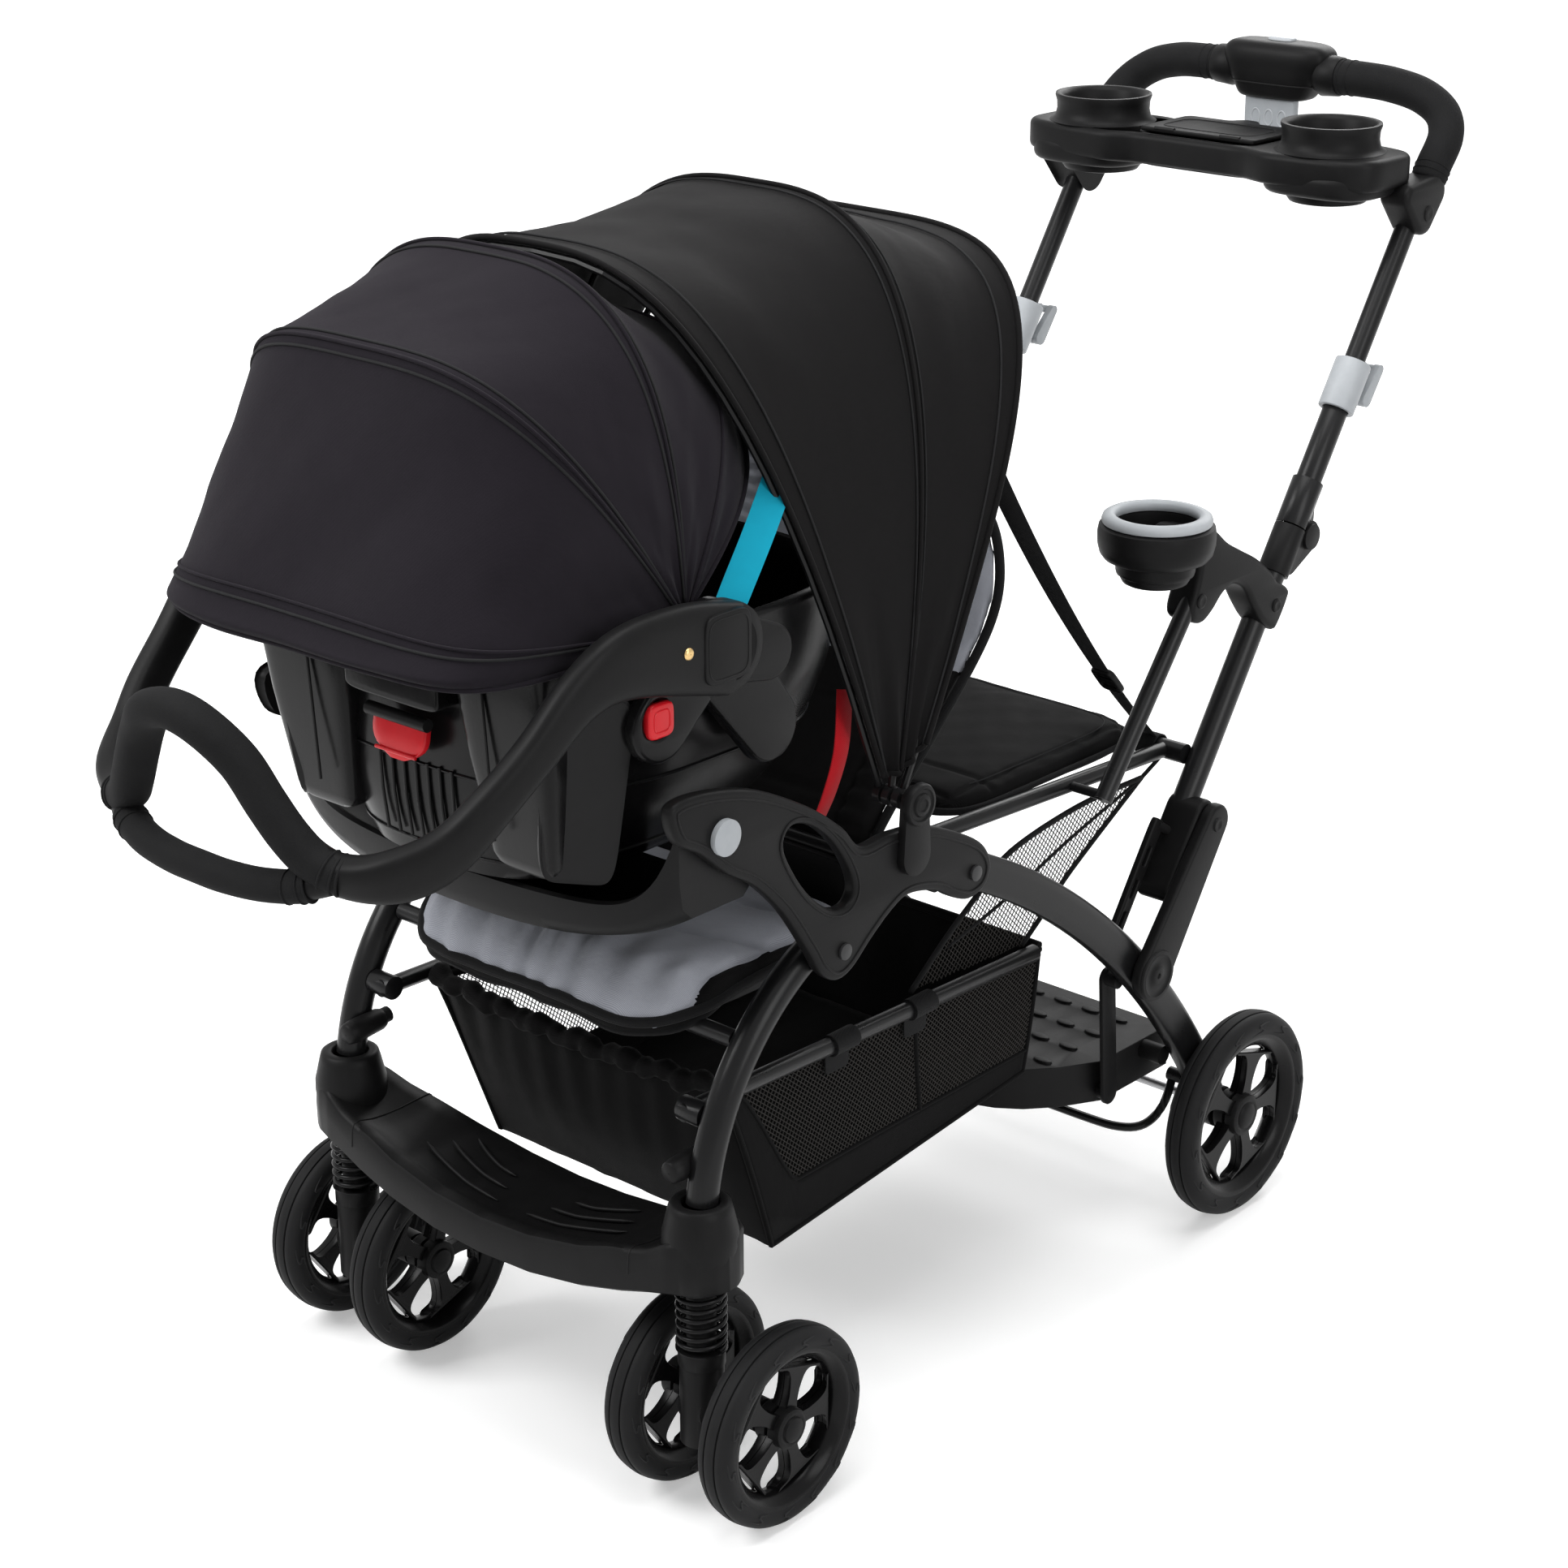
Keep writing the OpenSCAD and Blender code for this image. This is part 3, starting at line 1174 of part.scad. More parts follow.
// Carrier canopy: bows from the brim over the head to the open rear edge
carry_bow_pin = at([-0.385, 0.806]);
carry_angles = [-88, -36.5, -4, 26];
carry_half_shares = [0.196, 0.194, 0.192, 0.190];
carry_reach_shares = [0.248, 0.278, 0.278, 0.234];
carry_powers = [6, 3.2, 3, 3];
carry_cells = 15;
carry_steps = 24;
carry_from = 0.6;
carry_sag = 0.012;
function carry_row(i, grow) = arch_path(carry_bow_pin, carry_angles[i], at(carry_half_shares[i]) + grow,
    at(carry_reach_shares[i]) + grow, carry_powers[i], carry_from, carry_steps);
module carrier_canopy() {
    outer = [for (i = [0:3]) carry_row(i, fabric_t)];
    inner = [for (i = [0:3]) carry_row(i, 0)];
    color(cloth) cloth_shell(outer, inner, carry_cells, carry_bow_pin, carry_sag);
}

module carrier_bow(i) {
    color(black) sweep(carry_row(i, -fabric_gap - fit_gap), profile(bow_d, bow_d, 2, 6),
        [0, cos(carry_angles[i]), -sin(carry_angles[i])]);
}

module carrier_brim_bow() { carrier_bow(0); }
module carrier_bows() { for (i = [1:3]) carrier_bow(i); }

front_frame();
side_plates();
frame_bolts();
seat_deck();
front_seat_pad();
backrest();
basket_rails();
basket();
footrest();
child_tray();
tray_button_left();
tray_button_right();
canopy_mounts();
canopy_front_bow();
canopy_mid_bow();
canopy_rear_bow();
canopy_fabric();
rear_legs();
rear_axle();
rear_wheel_left();
rear_wheel_right();
standing_platform();
platform_links();
brake_bar();
pivot_housings();
rear_seat_rails();
rear_seat_pad();
lower_handle();
seat_links();
link_brackets();
cup_holder();
lower_knuckles();
upper_handle();
clamp_collars();
clamp_lever_left();
clamp_lever_right();
handlebar();
handle_grips();
console();
fold_trigger();
parent_tray();
tray_lid();
strut_left();
strut_right();
spring_left();
spring_right();
fork_left();
fork_right();
front_wheel_left_outer();
front_wheel_left_inner();
front_wheel_right_inner();
front_wheel_right_outer();
carrier_shell();
carrier_canopy();
carrier_brim_bow();
carrier_bows();
carrier_handle();
carrier_release();
carrier_button_left();
carrier_button_right();
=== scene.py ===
"""Looks of the tandem stroller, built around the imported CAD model. Metres, +Z up, front towards -Y."""
import math

import bmesh
import bpy
import numpy as np
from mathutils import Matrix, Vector
from mathutils.geometry import tessellate_polygon


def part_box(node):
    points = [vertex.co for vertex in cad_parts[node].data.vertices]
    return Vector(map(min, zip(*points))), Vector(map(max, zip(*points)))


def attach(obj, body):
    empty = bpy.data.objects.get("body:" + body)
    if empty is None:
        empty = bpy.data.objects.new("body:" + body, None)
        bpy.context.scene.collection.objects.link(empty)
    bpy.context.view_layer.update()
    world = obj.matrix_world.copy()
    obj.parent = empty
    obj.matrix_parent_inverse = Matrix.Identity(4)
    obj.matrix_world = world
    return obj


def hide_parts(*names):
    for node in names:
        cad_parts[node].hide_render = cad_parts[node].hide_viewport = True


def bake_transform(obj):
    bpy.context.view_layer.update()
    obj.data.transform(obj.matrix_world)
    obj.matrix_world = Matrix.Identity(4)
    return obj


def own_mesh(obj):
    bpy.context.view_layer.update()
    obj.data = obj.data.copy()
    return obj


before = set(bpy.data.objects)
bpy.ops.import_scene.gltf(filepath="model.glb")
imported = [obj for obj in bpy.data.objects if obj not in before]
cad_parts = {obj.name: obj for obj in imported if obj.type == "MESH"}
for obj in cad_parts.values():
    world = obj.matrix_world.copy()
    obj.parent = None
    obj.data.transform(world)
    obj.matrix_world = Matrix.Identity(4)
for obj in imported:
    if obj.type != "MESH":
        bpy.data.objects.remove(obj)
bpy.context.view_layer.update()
scene = bpy.context.scene


# Camera, light and floor

def back_vector(azimuth, elevation):
    a, e = math.radians(azimuth), math.radians(elevation)
    return Vector((math.sin(a) * math.cos(e), -math.cos(a) * math.cos(e), math.sin(e)))


camera = bpy.data.objects.new("camera", bpy.data.cameras.new("camera"))
scene.collection.objects.link(camera)
camera.location = (1.8778, -2.1674, 1.607)
camera.rotation_mode = "QUATERNION"
camera.rotation_quaternion = back_vector(41.5386, 20.9475).to_track_quat("Z", "Y")
camera.data.sensor_width = 36
camera.data.lens = 74.15
scene.camera = camera


def area_light(name, place, target, size, power):
    light = bpy.data.objects.new(name, bpy.data.lights.new(name, "AREA"))
    light.data.shape = "RECTANGLE"
    light.data.size, light.data.size_y = size
    light.data.energy = power
    light.location = place
    light.rotation_mode = "QUATERNION"
    light.rotation_quaternion = (Vector(place) - Vector(target)).to_track_quat("Z", "Y")
    scene.collection.objects.link(light)


area_light("key", (-1.6, -2.4, 3.0), (0, 0, 0.55), (1.8, 1.8), 105)
area_light("side", (3.2, -0.6, 1.9), (0, 0, 0.5), (1.4, 2.0), 40)
area_light("rear", (-0.6, 3.0, 2.6), (0, 0, 0.7), (2.4, 1.6), 62)
area_light("top", (0.3, -0.2, 3.6), (0, 0, 0.5), (2.2, 2.2), 74)


def node(tree, kind, **values):
    n = tree.nodes.new(kind)
    for key, value in values.items():
        if hasattr(n, key) and key not in n.inputs:
            setattr(n, key, value)
        else:
            n.inputs[key].default_value = value
    return n


def seen_ray(tree):
    """1 for a ray that shows the background: from the camera, off a glossy face or through glass."""
    path = node(tree, "ShaderNodeLightPath")
    last = path.outputs["Is Camera Ray"]
    for ray in ("Is Glossy Ray", "Is Transmission Ray"):
        either = node(tree, "ShaderNodeMath", operation="MAXIMUM")
        tree.links.new(last, either.inputs[0])
        tree.links.new(path.outputs[ray], either.inputs[1])
        last = either.outputs[0]
    return last


def remap(tree, value, **ends):
    """A value mapped from one range to another; the ends are given as from_min, from_max, to_min and to_max."""
    n = node(tree, "ShaderNodeMapRange", **{key.replace("_", " ").title(): end for key, end in ends.items()})
    tree.links.new(value, n.inputs["Value"])
    return n


def backdrop_material():
    """A pale floor that keeps the object's shadow and shows as white to the camera and in reflections."""
    m = bpy.data.materials.new("floor_paper")
    m.use_nodes = True
    t = m.node_tree
    t.nodes.clear()
    out = node(t, "ShaderNodeOutputMaterial")
    diffuse = node(t, "ShaderNodeBsdfDiffuse", Color=(0.86, 0.86, 0.86, 1))
    glow = node(t, "ShaderNodeEmission", Color=(1, 1, 1, 1))
    place = node(t, "ShaderNodeTexCoord")
    away = node(t, "ShaderNodeVectorMath", operation="LENGTH")
    t.links.new(place.outputs["Object"], away.inputs[0])
    rise = remap(t, away.outputs["Value"], from_min=1.0, from_max=4.0, to_min=0.36, to_max=0.95)
    rise.interpolation_type = "SMOOTHSTEP"
    t.links.new(rise.outputs[0], glow.inputs["Strength"])
    add = node(t, "ShaderNodeAddShader")
    t.links.new(diffuse.outputs[0], add.inputs[0])
    t.links.new(glow.outputs[0], add.inputs[1])
    mix = node(t, "ShaderNodeMixShader")
    t.links.new(seen_ray(t), mix.inputs[0])
    t.links.new(diffuse.outputs[0], mix.inputs[1])
    t.links.new(add.outputs[0], mix.inputs[2])
    t.links.new(mix.outputs[0], out.inputs[0])
    return m


floor_mesh = bpy.data.meshes.new("floor")
floor_mesh.from_pydata([(-14, -14, 0), (14, -14, 0), (14, 14, 0), (-14, 14, 0)], [], [(0, 1, 2, 3)])
floor = bpy.data.objects.new("floor", floor_mesh)
scene.collection.objects.link(floor)
floor_mesh.materials.append(backdrop_material())

world = bpy.data.worlds.new("studio")
world.use_nodes = True
scene.world = world
tree = world.node_tree
soft = tree.nodes["Background"]
soft.inputs["Color"].default_value = (1, 1, 1, 1)
soft.inputs["Strength"].default_value = 0.32
white = node(tree, "ShaderNodeBackground", Color=(1, 1, 1, 1), Strength=1.0)
pick = node(tree, "ShaderNodeMixShader")
tree.links.new(seen_ray(tree), pick.inputs[0])
tree.links.new(soft.outputs[0], pick.inputs[1])
tree.links.new(white.outputs[0], pick.inputs[2])
tree.links.new(pick.outputs[0], tree.nodes["World Output"].inputs[0])
scene.view_settings.view_transform = "Standard"


# Materials

def surface(name, dark, light, rough, detail=(), speckle=60.0, metallic=0.0, specular=0.25, sheen=0.0,
            coat=0.0, wear=0.0):
    """A procedural finish. Colour and roughness drift between two values with a soft noise, worn edges turn
    paler, and each row of detail adds one layer of relief: (kind, scale, strength, depth in metres)."""
    m = bpy.data.materials.new(name)
    m.use_nodes = True
    t = m.node_tree
    p = t.nodes["Principled BSDF"]
    for key, value in (("Metallic", metallic), ("Specular IOR Level", specular), ("Sheen Weight", sheen),
                       ("Sheen Roughness", 0.45), ("Coat Weight", coat), ("Coat Roughness", 0.2)):
        p.inputs[key].default_value = value
    place = node(t, "ShaderNodeTexCoord")
    drift = node(t, "ShaderNodeTexNoise", Scale=speckle, Detail=5.0, Roughness=0.6)
    t.links.new(place.outputs["Object"], drift.inputs["Vector"])
    colour = node(t, "ShaderNodeMix", data_type="RGBA")
    colour.inputs[6].default_value = (*dark, 1)
    colour.inputs[7].default_value = (*light, 1)
    t.links.new(drift.outputs["Fac"], colour.inputs[0])
    last = colour.outputs[2]
    if wear:
        geometry = node(t, "ShaderNodeNewGeometry")
        edge = remap(t, geometry.outputs["Pointiness"], from_min=0.52, from_max=0.62)
        share = node(t, "ShaderNodeMath", operation="MULTIPLY")
        share.inputs[1].default_value = wear
        t.links.new(edge.outputs[0], share.inputs[0])
        worn = node(t, "ShaderNodeMix", data_type="RGBA")
        worn.inputs[7].default_value = (*[min(1.0, 2.6 * c + 0.02) for c in light], 1)
        t.links.new(share.outputs[0], worn.inputs[0])
        t.links.new(last, worn.inputs[6])
        last = worn.outputs[2]
    t.links.new(last, p.inputs["Base Color"])
    shine = remap(t, drift.outputs["Fac"], to_min=rough[0], to_max=rough[1])
    t.links.new(shine.outputs[0], p.inputs["Roughness"])
    normal = None
    for kind, scale, strength, depth in detail:
        height = relief(t, place, kind, scale)
        bump = node(t, "ShaderNodeBump", Strength=strength, Distance=depth)
        t.links.new(height, bump.inputs["Height"])
        if normal is not None:
            t.links.new(normal, bump.inputs["Normal"])
        normal = bump.outputs["Normal"]
        if kind in ("weave", "twill"):
            shade = remap(t, height, to_min=0.55, to_max=1.15)
            tint = node(t, "ShaderNodeMix", data_type="RGBA", blend_type="MULTIPLY")
            tint.inputs[0].default_value = 1.0
            t.links.new(last, tint.inputs[6])
            t.links.new(shade.outputs[0], tint.inputs[7])
            last = tint.outputs[2]
            t.links.new(last, p.inputs["Base Color"])
    if normal is not None:
        t.links.new(normal, p.inputs["Normal"])
    return m


def relief(t, place, kind, scale):
    """Height from 0 to 1: grain, cells, woven threads or twill lines, at scale per metre."""
    where = place.outputs["Object"]
    if kind in ("weave", "twill"):
        where = place.outputs["UV"]
        bands = []
        for turn in ((0, 0, 0), (0, 0, math.pi / 2)) if kind != "twill" else ((0, 0, 0.9),):
            turned = node(t, "ShaderNodeMapping")
            turned.inputs["Rotation"].default_value = turn
            t.links.new(where, turned.inputs["Vector"])
            wave = node(t, "ShaderNodeTexWave", Scale=scale / 3.1416, Distortion=0.6, Detail=1.0)
            wave.inputs["Detail Scale"].default_value = 2.0
            t.links.new(turned.outputs[0], wave.inputs["Vector"])
            bands.append(wave.outputs["Fac"])
        if len(bands) == 1:
            return bands[0]
        both = node(t, "ShaderNodeMath", operation="MULTIPLY")
        t.links.new(bands[0], both.inputs[0])
        t.links.new(bands[1], both.inputs[1])
        return both.outputs[0]
    if kind == "cells":
        cells = node(t, "ShaderNodeTexVoronoi", Scale=scale)
        t.links.new(where, cells.inputs["Vector"])
        return cells.outputs["Distance"]
    grain = node(t, "ShaderNodeTexNoise", Scale=scale, Detail=3.0, Roughness=0.55)
    t.links.new(where, grain.inputs["Vector"])
    return grain.outputs["Fac"]


satin = surface("satin_black_tube", (0.004, 0.004, 0.0043), (0.007, 0.007, 0.0074), (0.24, 0.34),
                [("grain", 900, 0.12, 0.0004)], specular=0.15, coat=0.02, wear=0.2)
plastic = surface("black_moulded_plastic", (0.0048, 0.0047, 0.0049), (0.008, 0.0079, 0.0081), (0.38, 0.5),
                  [("cells", 1400, 0.1, 0.0003), ("grain", 260, 0.06, 0.001)], specular=0.09, wear=0.15)
gloss = surface("black_gloss_plastic", (0.0035, 0.0034, 0.0036), (0.006, 0.0059, 0.0062), (0.2, 0.3),
                [("grain", 240, 0.06, 0.001)], specular=0.11, wear=0.15)
rubber = surface("tyre_rubber", (0.008, 0.008, 0.0083), (0.0135, 0.0135, 0.014), (0.52, 0.66),
                 [("grain", 1200, 0.2, 0.0004), ("grain", 180, 0.08, 0.001)], specular=0.09, wear=0.25)
foam = surface("grip_foam", (0.009, 0.009, 0.0093), (0.0155, 0.0155, 0.016), (0.72, 0.88),
               [("cells", 1100, 0.35, 0.0006), ("grain", 300, 0.15, 0.001)], specular=0.07)
grey = surface("grey_plastic", (0.3, 0.32, 0.34), (0.4, 0.42, 0.44), (0.36, 0.48),
               [("grain", 800, 0.08, 0.0004)], specular=0.25, wear=0.15)
steel = surface("bright_steel", (0.4, 0.4, 0.41), (0.56, 0.56, 0.57), (0.22, 0.38),
                [("grain", 700, 0.12, 0.0004)], metallic=1.0)
dark_steel = surface("black_steel", (0.02, 0.02, 0.021), (0.034, 0.034, 0.035), (0.3, 0.42),
                     [("grain", 700, 0.12, 0.0004)], specular=0.2, wear=0.2)
brass = surface("brass_screw", (0.5, 0.33, 0.13), (0.66, 0.47, 0.22), (0.24, 0.36),
                [("grain", 900, 0.12, 0.0003)], metallic=1.0)
red = surface("red_plastic", (0.55, 0.006, 0.012), (0.68, 0.012, 0.02), (0.26, 0.36),
              [("grain", 700, 0.06, 0.0004)], specular=0.25)
red_web = surface("red_webbing", (0.5, 0.006, 0.012), (0.64, 0.012, 0.022), (0.62, 0.78),
                  [("twill", 900, 0.5, 0.0006)], specular=0.1, sheen=0.1)
cyan = surface("cyan_binding", (0.006, 0.42, 0.62), (0.01, 0.53, 0.76), (0.62, 0.78),
               [("weave", 1500, 0.3, 0.0003)], specular=0.1, sheen=0.1)
canopy_cloth = surface("black_canopy_cloth", (0.0085, 0.0081, 0.0084), (0.013, 0.0124, 0.0128), (0.66, 0.8),
                       [("weave", 1500, 0.35, 0.0004), ("grain", 40, 0.1, 0.004)], speckle=25, specular=0.05,
                       sheen=0.03)
carrier_cloth = surface("charcoal_cloth", (0.0165, 0.0142, 0.0185), (0.024, 0.0205, 0.0265), (0.78, 0.92),
                        [("weave", 1300, 0.4, 0.0004), ("grain", 45, 0.12, 0.004)], speckle=25, specular=0.05,
                        sheen=0.05)
basket_cloth = surface("black_basket_cloth", (0.004, 0.0039, 0.004), (0.0072, 0.0071, 0.0073), (0.62, 0.8),
                       [("twill", 1100, 0.35, 0.0004), ("grain", 60, 0.15, 0.003)], speckle=40, specular=0.04,
                       sheen=0.02)
webbing = surface("black_webbing", (0.0075, 0.0075, 0.008), (0.013, 0.013, 0.0135), (0.6, 0.78),
                  [("twill", 900, 0.5, 0.0006)], specular=0.06, sheen=0.04)
quilt = surface("grey_quilt", (0.42, 0.436, 0.49), (0.56, 0.58, 0.645), (0.74, 0.9),
                [("weave", 1500, 0.25, 0.0003), ("grain", 90, 0.25, 0.003)], speckle=30, specular=0.1, sheen=0.12)
thread = surface("stitching", (0.016, 0.016, 0.017), (0.028, 0.028, 0.029), (0.6, 0.8),
                 [("twill", 2400, 0.4, 0.0003)], specular=0.08)
net_wire = surface("net_thread", (0.02, 0.019, 0.018), (0.034, 0.032, 0.03), (0.6, 0.8),
                   [("grain", 2000, 0.3, 0.0003)], specular=0.08)


# Mesh helpers

def coords(o, kind="co"):
    """The points of a piece, or its normals, as rows of three numbers."""
    out = np.zeros(3 * len(o.data.vertices))
    o.data.vertices.foreach_get(kind, out)
    return out.reshape(-1, 3)


def lay_flat(mesh, uv):
    """Gives each point of a mesh its place on the flat cloth."""
    layer = mesh.uv_layers[0] if mesh.uv_layers else mesh.uv_layers.new(name="UVMap")
    loops = np.zeros(len(mesh.loops), np.int32)
    mesh.loops.foreach_get("vertex_index", loops)
    layer.data.foreach_set("uv", np.array(uv, np.float32)[loops].ravel())


def piece(name, verts, faces, materials, indices, uv):
    """One mesh object from points and faces, with a material index for each face."""
    mesh = bpy.data.meshes.new(name)
    mesh.from_pydata(verts, [], faces)
    for m in materials:
        mesh.materials.append(m)
    mesh.polygons.foreach_set("material_index", np.array(indices, np.int32))
    mesh.polygons.foreach_set("use_smooth", np.full(len(mesh.polygons), True))
    lay_flat(mesh, uv)
    mesh.validate()
    mesh.update()
    o = bpy.data.objects.new(name, mesh)
    scene.collection.objects.link(o)
    b = bmesh.new()
    b.from_mesh(mesh)
    bmesh.ops.recalc_face_normals(b, faces=b.faces)
    b.to_mesh(mesh)
    b.free()
    return o


def modify(o, kind, **values):
    m = o.modifiers.new(kind.lower(), kind)
    for key, value in values.items():
        setattr(m, key, value)
    return m


def settle(o):
    """Applies every modifier of a piece."""
    dg = bpy.context.evaluated_depsgraph_get()
    mesh = bpy.data.meshes.new_from_object(o.evaluated_get(dg), preserve_all_data_layers=True, depsgraph=dg)
    o.modifiers.clear()
    o.data = mesh
    return o


class Build:
    """Collects the faces of one piece from several forms, each in its own material."""

    def __init__(self):
        self.verts, self.faces, self.index, self.uv = [], [], [], []

    def add(self, verts, faces, material=0, uv=None):
        start = len(self.verts)
        verts = [tuple(map(float, v)) for v in verts]
        self.verts += verts
        self.uv += [tuple(map(float, q)) for q in uv] if uv is not None else [(v[0] + v[1], v[2]) for v in verts]
        self.faces += [tuple(start + int(i) for i in f) for f in faces]
        self.index += [material] * len(faces)
        return self

    def grid(self, points, material=0, around=False, along=False, caps=False):
        """Skin over rows of points; around closes each row, along closes the last row to the first."""
        p = np.array(points, float)
        m, n = p.shape[:2]
        faces = []
        for i in range(m if along else m - 1):
            for j in range(n if around else n - 1):
                a, b = i * n, (i + 1) % m * n
                k = (j + 1) % n
                faces.append((a + j, a + k, b + k, b + j))
        if caps:
            faces += [tuple(range(n))[::-1], tuple((m - 1) * n + j for j in range(n))]
        u = np.zeros((m, n))
        v = np.zeros((m, n))
        u[:, 1:] = np.cumsum(np.linalg.norm(np.diff(p, axis=1), axis=2), axis=1)
        v[1:, :] = np.cumsum(np.linalg.norm(np.diff(p, axis=0), axis=2), axis=0)
        u -= u[:, n // 2][:, None]
        return self.add(p.reshape(-1, 3), faces, material, np.stack([u, v], 2).reshape(-1, 2))

    def solid(self, rows):
        """Closed form over rows of points, with both ends capped."""
        return self.grid(rows, 0, True, False, True)

    def tube(self, path, radius, material=0, sides=12, closed=False, flat=1.0, power=2.0, caps=True):
        """Round or squared bar along a path; radius may be one number or one for each point."""
        return self.grid(rings(path, radius, sides, flat, power, closed), material, True, closed, caps and not closed)

    def lathe(self, profile, origin, axis, material=0, steps=64, caps=False):
        """Turned form: profile rows are (distance along the axis, radius)."""
        a = Vector(axis).normalized()
        s = a.orthogonal().normalized()
        c = a.cross(s)
        o = Vector(origin)
        rows = [[o + a * z + (s * math.cos(q) + c * math.sin(q)) * r
                 for q in (2 * math.pi * k / steps for k in range(steps))] for z, r in profile]
        return self.grid(np.array([[tuple(p) for p in row] for row in rows]), material, True, False, caps)

    def plate(self, outer, holes, place, t0, t1, fillet, material=0, steps=4):
        """Flat plate with rounded edges. Outlines are 2D; place(a, b, t) gives the point at depth t."""
        def offset(loop, d):
            q = np.array(loop, float)
            e = np.roll(q, -1, 0) - np.roll(q, 1, 0)
            e /= np.maximum(np.linalg.norm(e, axis=1), 1e-12)[:, None]
            return q + d * np.stack([-e[:, 1], e[:, 0]], 1)

        def turning(loop):
            q = np.array(loop, float)
            r = np.roll(q, -1, 0)
            return float((q[:, 0] * r[:, 1] - r[:, 0] * q[:, 1]).sum())

        outer = list(outer) if turning(outer) > 0 else list(outer)[::-1]
        holes = [list(h) if turning(h) < 0 else list(h)[::-1] for h in holes]
        levels = []
        for k in range(steps + 1):
            q = math.pi / 2 * k / steps
            levels.append((fillet * (1 - math.sin(q)), t0 + fillet * (1 - math.cos(q))))
        levels += [(inset, t1 + t0 - t) for inset, t in levels[::-1]]
        for loop in [outer, *holes]:
            rows = [[place(a, b, t) for a, b in offset(loop, inset)] for inset, t in levels]
            self.grid(np.array(rows, float), material, True)
        for inset, t in (levels[0], levels[-1]):
            loops = [offset(loop, inset) for loop in [outer, *holes]]
            flat = [Vector((a, b, 0)) for loop in loops for a, b in loop]
            tris = tessellate_polygon([[Vector((a, b, 0)) for a, b in loop] for loop in loops])
            self.add([place(v.x, v.y, t) for v in flat], tris, material)
        return self

    def make(self, name, materials, body=None, auto=None, slot=None, stands_for=None):
        """The welded piece, with edges sharper than auto degrees, on its body, for its CAD node; slot is not used."""
        o = piece(name, self.verts, self.faces, materials, self.index, self.uv)
        b = bmesh.new()
        b.from_mesh(o.data)
        bmesh.ops.remove_doubles(b, verts=b.verts, dist=1e-6)
        bmesh.ops.recalc_face_normals(b, faces=b.faces)
        b.to_mesh(o.data)
        b.free()
        if auto is not None:
            o.data.set_sharp_from_angle(angle=math.radians(auto))
        if body:
            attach(o, body)
        if stands_for:
            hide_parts(stands_for)
        return o


def spline(a, b, c, d, steps):
    """Points from b towards c on the smooth path a, b, c, d."""
    for t in (k / steps for k in range(steps)):
        yield 0.5 * (2 * b + (c - a) * t + (2 * a - 5 * b + 4 * c - d) * t * t
                     + (3 * b - a - 3 * c + d) * t ** 3)


def curve(points, steps=6):
    """Smooth path through the points."""
    p = np.array(points, float)
    n = len(p) - 1
    out = [q for i in range(n) for q in spline(p[max(i - 1, 0)], p[i], p[i + 1], p[min(i + 2, n)], steps)]
    return np.array(out + [p[n]])


def loop_curve(points, steps=6):
    """Smooth closed path through the points."""
    p = np.array(points, float)
    n = len(p)
    return np.array([q for i in range(n) for q in spline(p[i - 1], p[i], p[(i + 1) % n], p[(i + 2) % n], steps)])


def rings(path, radius, sides, flat=1.0, power=2.0, closed=False):
    """Rings across a path, carried along it without twist."""
    p = np.array(path, float)
    n = len(p)
    r = np.broadcast_to(np.array(radius, float), (n,))
    flat = np.broadcast_to(np.array(flat, float), (n,))
    t = np.roll(p, -1, 0) - np.roll(p, 1, 0) if closed else np.gradient(p, axis=0)
    t /= np.linalg.norm(t, axis=1)[:, None]
    s = np.cross(t[0], (0, 0, 1.0) if abs(t[0][2]) < 0.9 else (1.0, 0, 0))
    out = []
    for i in range(n):
        if i:
            s = s - t[i] * (s @ t[i])
        s = s / np.linalg.norm(s)
        u = np.cross(s, t[i])
        row = []
        for k in range(sides):
            q = 2 * math.pi * (k + 0.5) / sides
            c, d = math.cos(q), math.sin(q)
            c, d = math.copysign(abs(c) ** (2 / power), c), math.copysign(abs(d) ** (2 / power), d)
            row.append(p[i] + r[i] * (c * s + d * u * flat[i]))
        out.append(row)
    return np.array(out)


def ring_at(path, k, radius, sides, **shape):
    """One ring across a path at its point k."""
    k = min(k, len(path) - 2)
    return rings(path[k:k + 2], radius, sides, **shape)[0]


def both_sides(points):
    """Half path from one side to the middle, continued to the other side."""
    p = np.array(points, float)
    return np.concatenate([p, p[-2::-1] * np.array([-1, 1, 1])])


def mirror(points):
    return np.array(points, float) * np.array([-1, 1, 1])


def sided(side, profile):
    """A turned profile along X for the left side, 1, or the right side, -1."""
    return [(side * d, r) for d, r in profile]


def oval(w, h, power, n, centre=(0, 0)):
    q = 2 * math.pi * (np.arange(n) + 0.5) / n
    c, s = np.cos(q), np.sin(q)
    return np.stack([centre[0] + w / 2 * np.sign(c) * np.abs(c) ** (2 / power),
                     centre[1] + h / 2 * np.sign(s) * np.abs(s) ** (2 / power)], 1)


